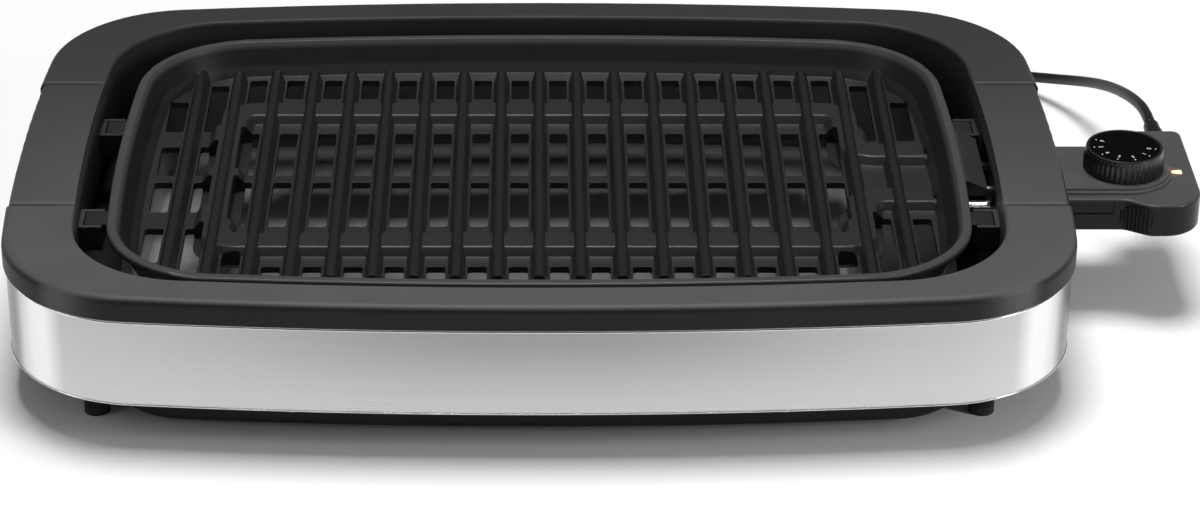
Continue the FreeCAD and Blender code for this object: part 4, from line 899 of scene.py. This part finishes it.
@dataclass
class SupplyCord:
    """The twin-cored cord, from the probe's boot round the back to its coil and plug."""

    route: Sequence[Spot] = (
        (0.3310, 0.0720, 0.0576),
        (0.3310, 0.0910, 0.0576),
        (0.3290, 0.1150, 0.0530),
        (0.3258, 0.1400, 0.0462),
        (0.3220, 0.1650, 0.0380),
        (0.3160, 0.1900, 0.0286),
        (0.3060, 0.2130, 0.0192),
        (0.2910, 0.2340, 0.0110),
        (0.2690, 0.2515, 0.0054),
        (0.2410, 0.2640, 0.0031),
        (0.2080, 0.2710, 0.0031),
        (0.1720, 0.2736, 0.0031),
        (0.1380, 0.2729, 0.0031),
        (0.1080, 0.2712, 0.0031),
        (0.0800, 0.2712, 0.0031),
    )
    diameter: float = 6.0 * MM
    length: float = 1.02
    groove: float = 0.55 * MM
    groove_share: float = 0.22
    coil_radius: float = 27.0 * MM
    coil_step: float = 7.6 * MM
    coil_layer: float = 6.7 * MM
    coil_tail: float = 32.0 * MM
    coil_in_quarters: int = 5
    coil_climb_quarters: int = 2
    points_in_quarter: int = 3
    section_points: int = 24
    spline_order: int = 3
    spline_steps: int = 6
    tie_width: float = 8.0 * MM
    tie_thickness: float = 0.8 * MM
    tie_steps: int = 6
    tie_crease: float = math.radians(40)

    def coil_spot(self, quarter: float) -> Vector:
        """Middle of the cord somewhere in its coil.

        Args:
            quarter: Quarter turns from the coil's start.

        Returns:
            The place, from the coil's own middle.
        """
        inward = min(quarter, self.coil_in_quarters)
        outward = max(quarter - self.coil_in_quarters - self.coil_climb_quarters, 0.0)
        climbed = min(max(quarter - self.coil_in_quarters, 0.0), self.coil_climb_quarters)
        radius = self.coil_radius + self.coil_step / 4 * (self.coil_in_quarters - inward + outward)
        turn = QUARTER * (1 + quarter)
        rise = self.coil_layer * eased(climbed / self.coil_climb_quarters)
        return Vector((radius * math.cos(turn), radius * math.sin(turn), rise))

    def coil_middle(self) -> Vector:
        """Middle of the coil, at the level of its lower turns."""
        return Vector(self.route[-1]) - Vector((self.diameter, 0.0, 0.0)) - self.coil_spot(0)

    def control_points(self) -> list[Vector]:
        """The route's points, the coil's turns and the run to the plug.

        Returns:
            The points, in the frame of the model.
        """
        quarters = 2 * self.coil_in_quarters + self.coil_climb_quarters
        steps = range(quarters * self.points_in_quarter + 1)
        middle = self.coil_middle()
        turns = [middle + self.coil_spot(step / self.points_in_quarter) for step in steps]
        tail = turns[-1] - Vector((self.coil_tail, 0.0, 0.0))
        spots = [Vector(spot) for spot in self.route] + turns + [turns[-1].lerp(tail, 0.5), tail]
        return [BODY_MIDDLE + spot for spot in spots]

    def line(self) -> list[Vector]:
        """The middle of the cord, as a smooth spline on its control points.

        Returns:
            Points along it, from the probe to the plug.
        """
        curve = bpy.data.curves.new("cord_line", "CURVE")
        curve.dimensions = "3D"
        spots = self.control_points()
        spline = curve.splines.new("NURBS")
        spline.points.add(len(spots) - 1)
        for point, spot in zip(spline.points, spots):
            point.co = (*spot, 1.0)
        spline.order_u = self.spline_order
        spline.use_endpoint_u = True
        spline.resolution_u = self.spline_steps
        mesh = settled_mesh(bpy.data.objects.new("cord_line", curve))
        line = [vertex.co.copy() for vertex in mesh.vertices]
        bpy.data.meshes.remove(mesh)
        return line

    def section(self) -> list[Span]:
        """A round section with a groove above and below, between the two cores.

        Returns:
            Points round the cord's middle, across and up.
        """
        rim = []
        for i in range(self.section_points):
            turn = 2 * math.pi * i / self.section_points
            near = max(0.0, 1 - abs(math.cos(turn)) / self.groove_share)
            radius = self.diameter / 2 - self.groove * near
            rim.append((radius * math.cos(turn), radius * math.sin(turn)))
        return rim

    def build(self, palette: Palette) -> None:
        """Make the cord and its tie.

        Args:
            palette: The finishes.
        """
        line = self.line()
        mesh = tube_mesh("supply_cord", line, self.section())
        cord = new_piece("supply_cord", mesh, Body.PROBE)
        palette.dress(cord, Slot.CORD)
        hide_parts("power_cord", "cord_coil")
        tie = self.build_tie(palette)

    def build_tie(self, palette: Palette) -> bpy.types.Object:
        """Make the strap that holds the coil's turns together.

        Args:
            palette: The finishes.

        Returns:
            The strap.
        """
        half = self.diameter / 2
        thick = self.tie_thickness
        left = self.coil_radius - thick
        right = self.coil_radius + self.coil_step * self.coil_in_quarters / 4 + thick
        top = self.coil_layer + thick
        loop = []
        for number, (r, z) in enumerate(((right, top), (left, top), (left, 0.0), (right, 0.0))):
            for step in range(self.tie_steps + 1):
                turn = QUARTER * (number + step / self.tie_steps)
                out_r = math.cos(turn)
                out_z = math.sin(turn)
                loop.append((r + half * out_r, z + half * out_z, out_r, out_z))
        middle = BODY_MIDDLE + self.coil_middle()
        section = ((0.0, -1), (0.0, 1), (thick, 1), (thick, -1))
        points = []
        for r, z, out_r, out_z in loop:
            for depth, side in section:
                spot = Vector((r - depth * out_r, side * self.tie_width / 2, z - depth * out_z))
                points.append(middle + spot)
        faces = []
        count = len(section)
        for i in range(len(loop)):
            here = count * i
            after = count * ((i + 1) % len(loop))
            for j in range(count):
                k = (j + 1) % count
                faces.append((here + j, after + j, after + k, here + k))
        mesh = plain_mesh("cord_tie", points, faces)
        mesh.set_sharp_from_angle(angle=self.tie_crease)
        tie = new_piece("cord_tie", mesh, Body.PROBE)
        palette.dress(tie, Slot.CORD)
        return tie


@dataclass(frozen=True)
class Outline:
    """A rectangle with bowed sides and round corners, as the base is seen from above."""

    half_width: float
    half_depth: float
    side_bow: float
    front_bow: float
    corner: float

    def inset(self, gap: float) -> "Outline":
        """The same outline, further in."""
        sizes = (self.half_width, self.half_depth, self.side_bow, self.front_bow, self.corner)
        return Outline(*(size - gap for size in sizes))

    def corner_middle(self) -> Vector:
        """Where the right rear corner's arc has its middle.

        Returns:
            The place, from the middle of the outline.
        """
        side = self.half_width - self.side_bow
        front = self.half_depth - self.front_bow
        side_reach = self.side_bow - self.corner
        front_reach = self.front_bow - self.corner
        apart = math.hypot(side, front)
        along = (side_reach ** 2 - front_reach ** 2 + apart ** 2) / (2 * apart)
        off = math.sqrt(side_reach ** 2 - along ** 2)
        way = Vector((-side, front)) / apart
        base = Vector((side, 0.0)) + way * along
        spots = (base + Vector((-way.y, way.x)) * off, base - Vector((-way.y, way.x)) * off)
        return max(spots, key=lambda spot: spot.x + spot.y)

    def points(self, steps: int = 14) -> list[Vector]:
        """Points round the outline, from the middle of the right side.

        Args:
            steps: Points in each arc of a quarter.

        Returns:
            The points, in one level.
        """
        middle = self.corner_middle()
        side = Vector((self.half_width - self.side_bow, 0.0))
        front = Vector((0.0, self.half_depth - self.front_bow))
        low = math.atan2(middle.y - side.y, middle.x - side.x)
        high = math.atan2(middle.y - front.y, middle.x - front.x)
        arcs = (
            (side, self.side_bow, 0.0, low),
            (middle, self.corner, low, high),
            (front, self.front_bow, high, QUARTER),
        )
        quarter = []
        for centre, radius, start, end in arcs:
            for step in range(steps):
                turn = start + (end - start) * step / steps
                quarter.append(centre + radius * Vector((math.cos(turn), math.sin(turn))))
        quarter.append(Vector((0.0, self.half_depth)))
        left = [Vector((-spot.x, spot.y)) for spot in reversed(quarter[:-1])]
        rear = quarter + left
        return rear + [Vector((spot.x, -spot.y)) for spot in reversed(rear[1:-1])]


class GeometryTree(Tree):
    """A Geometry Nodes tree with named inputs, run once on a host."""

    def __init__(self, name: str) -> None:
        """Start an empty tree.

        Args:
            name: The tree's name.
        """
        group = bpy.data.node_groups.new(name, "GeometryNodeTree")
        super().__init__(group)
        group.interface.new_socket("Geometry", in_out="OUTPUT", socket_type="NodeSocketGeometry")
        group.interface.new_socket("Geometry", in_out="INPUT", socket_type="NodeSocketGeometry")
        self.group_input = group.nodes.new("NodeGroupInput")
        self.names: dict[str, str] = {}

    def size(self, name: str, kind: str = "NodeSocketFloat") -> Wire:
        """Add a named input to the tree.

        Args:
            name: Its name.
            kind: Its socket's type.

        Returns:
            Its value inside the tree.
        """
        made = self.tree.interface.new_socket(name, in_out="INPUT", socket_type=kind)
        self.names[name] = made.identifier
        return Wire(self, self.group_input.outputs[name])

    def geometry(self) -> Wire:
        """The host's own geometry."""
        return Wire(self, self.group_input.outputs["Geometry"])

    def end(self, shape: Wire, material: Wire) -> None:
        """Make instances real, set the material and close the tree.

        Args:
            shape: The geometry.
            material: The material's input.
        """
        real = self.node("GeometryNodeRealizeInstances", None, {0: shape})
        dressed = self.node("GeometryNodeSetMaterial", None, {"Geometry": real, "Material": material})
        self.node("NodeGroupOutput", None, {0: dressed})

    def run(self, name: str, host_mesh: bpy.types.Mesh, values: Mapping[str, Any]) -> bpy.types.Mesh:
        """Run the tree on a host mesh.

        Args:
            name: Name of the result.
            host_mesh: The mesh that it starts from.
            values: A value for each named input.

        Returns:
            The result as a plain mesh.
        """
        host = bpy.data.objects.new(name + "_host", host_mesh)
        modifier = host.modifiers.new("nodes", "NODES")
        modifier.node_group = self.tree
        for key, value in values.items():
            modifier[self.names[key]] = value
        mesh = settled_mesh(host)
        mesh.name = name
        return mesh


def ring_tree() -> GeometryTree:
    """Small round studs on an arc round an upright axis.

    Returns:
        The tree, with its inputs named.
    """
    tree = GeometryTree("studs_on_an_arc")
    count = tree.size("Count", "NodeSocketInt")
    radius = tree.size("Radius")
    start = tree.size("Start")
    step = tree.size("Step")
    middle = tree.size("Middle")
    level = tree.size("Level")
    stud = tree.size("Stud radius")
    height = tree.size("Stud height")
    material = tree.size("Material", "NodeSocketMaterial")
    index = tree.node("GeometryNodeInputIndex")
    turn = start + step * index
    sockets = {"X": middle + radius * turn.cosine(), "Y": radius * turn.sine(), "Z": level}
    place = tree.node("ShaderNodeCombineXYZ", None, sockets)
    points = tree.node("GeometryNodePoints", None, {"Count": count, "Position": place})
    sockets = {"Vertices": STUD_SIDES, "Radius": stud, "Depth": height}
    shape = tree.node("GeometryNodeMeshCylinder", None, sockets)
    studs = tree.node("GeometryNodeInstanceOnPoints", None, {"Points": points, "Instance": shape})
    tree.end(studs, material)
    return tree


def bead_tree() -> GeometryTree:
    """A round bead along the host's line.

    Returns:
        The tree, with its inputs named.
    """
    tree = GeometryTree("bead_on_a_line")
    radius = tree.size("Radius")
    material = tree.size("Material", "NodeSocketMaterial")
    path = tree.node("GeometryNodeMeshToCurve", None, {"Mesh": tree.geometry()})
    ring = tree.node("GeometryNodeCurvePrimitiveCircle", None, {"Resolution": BEAD_SIDES, "Radius": radius})
    sockets = {"Curve": path, "Profile Curve": ring, "Fill Caps": True}
    bead = tree.node("GeometryNodeCurveToMesh", None, sockets)
    tree.end(bead, material)
    return tree


def ribs_tree() -> GeometryTree:
    """Upright ribs at even steps along the host's line, cut off to an oval.

    Returns:
        The tree, with its inputs named.
    """
    tree = GeometryTree("ribs_on_a_line")
    count = tree.size("Count", "NodeSocketInt")
    radius = tree.size("Radius")
    height = tree.size("Height")
    material = tree.size("Material", "NodeSocketMaterial")
    path = tree.node("GeometryNodeMeshToCurve", None, {"Mesh": tree.geometry()})
    even = tree.node("GeometryNodeResampleCurve", None, {"Curve": path, "Count": count})
    sockets = {"Vertices": RIB_SIDES, "Radius": radius, "Depth": height}
    shape = tree.node("GeometryNodeMeshCylinder", None, sockets)
    share = (tree.node("GeometryNodeInputIndex") + 0.5) * (2.0 / count) - 1.0
    tall = (1.0 - share * share).root()
    oval = tree.node("ShaderNodeCombineXYZ", None, {"X": 1.0, "Y": 1.0, "Z": tall})
    sockets = {"Points": even, "Instance": shape, "Scale": oval}
    ribs = tree.node("GeometryNodeInstanceOnPoints", None, sockets)
    tree.end(ribs, material)
    return tree


def line_mesh(name: str, points: Sequence[Vector], closed: bool) -> bpy.types.Mesh:
    """A mesh of edges only, along points.

    Args:
        name: The mesh's name.
        points: Points of the line.
        closed: Whether its last point joins its first.

    Returns:
        The mesh.
    """
    count = len(points)
    edges = [(i, (i + 1) % count) for i in range(count if closed else count - 1)]
    mesh = bpy.data.meshes.new(name)
    mesh.from_pydata([tuple(point) for point in points], edges, [])
    return mesh


@dataclass
class SteelBand:
    """The hems of the brushed band."""

    outline: Outline = Outline(0.270, 0.180, 1.400, 2.160, 0.073)
    band_inset: float = 1.5 * MM
    hem_radius: float = 0.45 * MM
    hem_drop: float = 1.2 * MM
    door_half: float = 35.6 * MM

    def build(self) -> None:
        """Make the upper hem, which is open at the probe, and the lower one."""
        low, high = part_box("steel_band")
        tree = bead_tree()
        bright = Metal("band_hem_polished", (0.92, 0.92, 0.92), 0.2).material()
        ring = self.outline.inset(self.band_inset).points()
        upper = [spot for spot in ring if not (spot.x > 0 and abs(spot.y) < self.door_half)]
        start = max(range(len(upper)), key=lambda i: (upper[i] - upper[i - 1]).length)
        upper = upper[start:] + upper[:start]
        hems = (
            ("band_upper_hem", upper, high.z - self.hem_radius - self.hem_drop, False),
            ("band_lower_hem", ring, low.z + self.hem_radius, True),
        )
        for name, spots, level, closed in hems:
            points = [BODY_MIDDLE + Vector((spot.x, spot.y, level)) for spot in spots]
            values = {"Radius": self.hem_radius, "Material": bright}
            mesh = tree.run(name, line_mesh(name + "_line", points, closed), values)
            new_piece(name, mesh, Body.BASE)


@dataclass
class ControlProbe:
    """The dial's printing, edge ring and studs, and the finger grip on the probe's front."""

    scale_count: int = 7
    scale_start: float = math.radians(150)
    scale_step: float = math.radians(33)
    scale_radius: float = 15.9 * MM
    scale_dot: float = 0.42 * MM
    print_height: float = 0.06 * MM
    digit_radius: float = 12.6 * MM
    digit_size: float = 3.4 * MM
    digit_steps: int = 3
    ring_radius: float = 18.9 * MM
    ring_bead: float = 0.4 * MM
    ring_points: int = 64
    stud_count: int = 56
    stud_radius: float = 0.4 * MM
    stud_place: float = 19.7 * MM
    stud_drop: float = 1.5 * MM
    grip_count: int = 9
    grip_radius: float = 0.75 * MM
    grip_steps: int = 32
    grip_reach: Span = (0.3002, 0.3154)
    grip_slope: Span = (0.2980, 0.3180)
    grip_front: Span = (-0.0315, -0.0390)
    grip_low: float = 49.6 * MM
    grip_high: float = 63.6 * MM

    def dial_middle(self) -> Vector:
        """Middle of the dial's face, at its top."""
        low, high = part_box("knob_disc")
        return Vector(((low.x + high.x) / 2, (low.y + high.y) / 2, high.z))

    def digit_mesh(self, digit: str, turn: float) -> bpy.types.Mesh:
        """One digit of the scale, lying on the dial with its foot outwards.

        Args:
            digit: The figure.
            turn: Its angle round the dial.

        Returns:
            The digit's mesh, in place.
        """
        curve = bpy.data.curves.new("digit", "FONT")
        curve.body = digit
        curve.size = self.digit_size
        curve.extrude = self.print_height / 2
        curve.align_x = "CENTER"
        curve.align_y = "CENTER"
        curve.resolution_u = self.digit_steps
        mesh = settled_mesh(bpy.data.objects.new("digit", curve))
        way = Vector((math.cos(turn), math.sin(turn), 0.0))
        place = Matrix.Translation(self.dial_middle() + way * self.digit_radius)
        mesh.transform(place @ Matrix.Rotation(turn + QUARTER, 4, "Z"))
        return mesh

    def dial_line(self) -> list[Vector]:
        """Points of the ring round the dial's face.

        Returns:
            The points, at the ring's middle.
        """
        middle = self.dial_middle()
        level = middle.z - self.ring_bead
        line = []
        for i in range(self.ring_points):
            turn = 2 * math.pi * i / self.ring_points
            x = middle.x + self.ring_radius * math.cos(turn)
            line.append(Vector((x, self.ring_radius * math.sin(turn), level)))
        return line

    def build_printing(self, studs: GeometryTree) -> None:
        """Make the dots and the figures of the dial's scale.

        Args:
            studs: The tree that sets studs on an arc.
        """
        middle = self.dial_middle()
        ink = Ink("dial_ink").material()
        values = {
            "Count": self.scale_count,
            "Radius": self.scale_radius,
            "Start": self.scale_start,
            "Step": self.scale_step,
            "Middle": middle.x,
            "Level": middle.z,
            "Stud radius": self.scale_dot,
            "Stud height": self.print_height,
            "Material": ink,
        }
        mesh = studs.run("dial_scale_dots", bpy.data.meshes.new("empty"), values)
        new_piece("dial_scale_dots", mesh, Body.DIAL)
        for number in range(self.scale_count):
            digit = str(self.scale_count - 1 - number)
            mesh = self.digit_mesh(digit, self.scale_start + self.scale_step * number)
            mesh.materials.clear()
            mesh.materials.append(ink)
            new_piece(f"dial_digit_{digit}", mesh, Body.DIAL)

    def build_edge(self, studs: GeometryTree) -> None:
        """Make the ring round the dial's face and the studs below it, pale as a painted highlight along the
        dial's edge.

        Args:
            studs: The tree that sets studs on an arc.
        """
        middle = self.dial_middle()
        # Painted highlight: the ring and studs take a pale colour that stands in for light along the dial's
        # edge.
        painted_highlight_grey = Plastic("dial_edge_painted_highlight", (0.1, 0.1, 0.1), 0.3, gloss=0.5).material()
        ring = line_mesh("dial_edge_line", self.dial_line(), True)
        mesh = bead_tree().run("dial_edge", ring, {"Radius": self.ring_bead, "Material": painted_highlight_grey})
        new_piece("dial_edge", mesh, Body.DIAL)
        values = {
            "Count": self.stud_count,
            "Radius": self.stud_place,
            "Start": 0.0,
            "Step": 2 * math.pi / self.stud_count,
            "Middle": middle.x,
            "Level": middle.z - self.stud_drop,
            "Stud radius": self.stud_radius,
            "Stud height": 2 * self.stud_radius,
            "Material": painted_highlight_grey,
        }
        mesh = studs.run("dial_studs", bpy.data.meshes.new("empty"), values)
        new_piece("dial_studs", mesh, Body.DIAL)

    def build(self, palette: Palette) -> None:
        """Make the printing, the dial's edge and the grip.

        Args:
            palette: The finishes.
        """
        studs = ring_tree()
        self.build_printing(studs)
        self.build_edge(studs)
        self.build_grip(palette)

    def build_grip(self, palette: Palette) -> None:
        """Make the oval patch of finger ribs where the probe's front steps out.

        Args:
            palette: The finishes.
        """
        start, end = self.grip_reach
        slope_start, slope_end = self.grip_slope
        inner, outer = self.grip_front
        level = (self.grip_low + self.grip_high) / 2
        points = []
        for i in range(self.grip_steps + 1):
            x = start + (end - start) * i / self.grip_steps
            share = (x - slope_start) / (slope_end - slope_start)
            y = inner + (outer - inner) * eased(share)
            points.append(BODY_MIDDLE + Vector((x, y, level)))
        values = {
            "Count": self.grip_count,
            "Radius": self.grip_radius,
            "Height": self.grip_high - self.grip_low,
            "Material": palette.made[Slot.PROBE],
        }
        mesh = ribs_tree().run("probe_finger_grip", line_mesh("grip_line", points, False), values)
        new_piece("probe_finger_grip", mesh, Body.PROBE)


@dataclass(frozen=True)
class Softbox:
    """One soft rectangular light."""

    name: str
    place: Spot
    aim: Spot
    size: Span
    power: float

    def build(self) -> None:
        """Make the light and turn it to what it faces."""
        lamp = bpy.data.lights.new(self.name, "AREA")
        lamp.shape = "RECTANGLE"
        lamp.size, lamp.size_y = self.size
        lamp.energy = self.power
        light = bpy.data.objects.new(self.name, lamp)
        light.location = self.place
        light.rotation_euler = (Vector(self.aim) - Vector(self.place)).to_track_quat("-Z", "Y").to_euler()
        bpy.context.scene.collection.objects.link(light)


@dataclass
class Studio:
    """The floor, the lights and the camera at the photograph's angle."""

    camera_place: Spot = (-0.036, -1.6764, 0.9067)
    camera_pitch: float = 28.0
    image_width: float = 1200.0
    focal_pixels: float = 3591.3
    middle_pixel: float = 539.2
    sensor: float = 36.0
    floor_half: float = 6.0
    floor_drop: float = 0.2 * MM
    floor_fade: Span = (0.55, 0.95)
    floor_dark: Colour = (0.95, 0.95, 0.95)
    floor_pale: Colour = (0.97, 0.97, 0.97)
    floor_cloud: float = 2.0
    floor_detail: float = 2.0
    floor_roughness: float = 0.8
    floor_gloss: float = 0.2
    surround: float = 0.16
    softboxes: tuple[Softbox, ...] = (
        Softbox("key_overhead", (-0.06, 0.36, 4.0), (-0.03, 0.0, 0.0), (1.5, 1.5), 135.0),
        Softbox("left_side", (-1.6, -0.7, 0.8), (-0.1, 0.0, 0.05), (0.5, 1.0), 3.0),
        Softbox("right_strip", (1.3, -0.7, 0.5), (0.27, 0.0, 0.06), (0.12, 0.8), 8.0),
    )

    def build_camera(self) -> None:
        """Make the camera and look through it."""
        lens = bpy.data.cameras.new("camera")
        lens.sensor_width = self.sensor
        lens.lens = self.focal_pixels / self.image_width * self.sensor
        lens.shift_x = 0.5 - self.middle_pixel / self.image_width
        camera = bpy.data.objects.new("camera", lens)
        camera.location = self.camera_place
        camera.rotation_euler = (math.radians(90 - self.camera_pitch), 0.0, 0.0)
        bpy.context.scene.collection.objects.link(camera)
        bpy.context.scene.camera = camera

    def floor_material(self) -> bpy.types.Material:
        """A pale floor that keeps the shadow near the grill and is seen plain white further off.

        Returns:
            Its material.
        """
        shade = Shade("floor_white")
        spot = shade.spot()
        cloud = shade.noise(spot, self.floor_cloud, self.floor_detail)
        sockets = {
            "Base Color": shade.mix(cloud, self.floor_dark, self.floor_pale),
            "Roughness": self.floor_roughness,
            "Specular IOR Level": self.floor_gloss,
        }
        near = shade.node("ShaderNodeBsdfPrincipled", None, sockets)
        white = shade.node("ShaderNodeEmission", None, {"Color": WHITE, "Strength": 1.0})
        seen = shade.node("ShaderNodeLightPath", output="Is Camera Ray")
        for ray in ("Is Glossy Ray", "Is Transmission Ray"):
            seen = seen + shade.node("ShaderNodeLightPath", output=ray)
        away = shade.node("ShaderNodeVectorMath", {"operation": "LENGTH"}, {0: spot}, "Value")
        share = away.step(*self.floor_fade) * seen
        surface = shade.node("ShaderNodeMixShader", None, {0: share, 1: near, 2: white})
        shade.node("ShaderNodeOutputMaterial", None, {"Surface": surface})
        return shade.material

    def build_floor(self) -> None:
        """Make the floor, just under the feet."""
        half = self.floor_half
        sides = ((-half, -half), (half, -half), (half, half), (-half, half))
        corners = [Vector((x, y, -self.floor_drop)) for x, y in sides]
        floor = bpy.data.objects.new("floor", plain_mesh("floor", corners, [(0, 1, 2, 3)]))
        floor.data.materials.append(self.floor_material())
        bpy.context.scene.collection.objects.link(floor)

    def build_surround(self) -> None:
        """Make the pale surround."""
        world = bpy.data.worlds.new("surround")
        world.use_nodes = True
        background = world.node_tree.nodes["Background"]
        background.inputs["Color"].default_value = (*WHITE, 1.0)
        background.inputs["Strength"].default_value = self.surround
        bpy.context.scene.world = world

    def build(self) -> None:
        """Make the whole stage."""
        self.build_camera()
        self.build_floor()
        self.build_surround()
        for softbox in self.softboxes:
            softbox.build()
        bpy.context.scene.view_settings.view_transform = "Standard"
        LOG.info("built the stage")


def main() -> None:
    """Build the stage, the finishes and the added pieces, in order."""
    logging.basicConfig(level=logging.INFO, format="%(message)s")
    Studio().build()
    palette = Palette()
    palette.build()
    palette.dress_nodes()
    SupplyCord().build(palette)
    SteelBand().build()
    ControlProbe().build(palette)


if __name__ == "__main__":
    main()
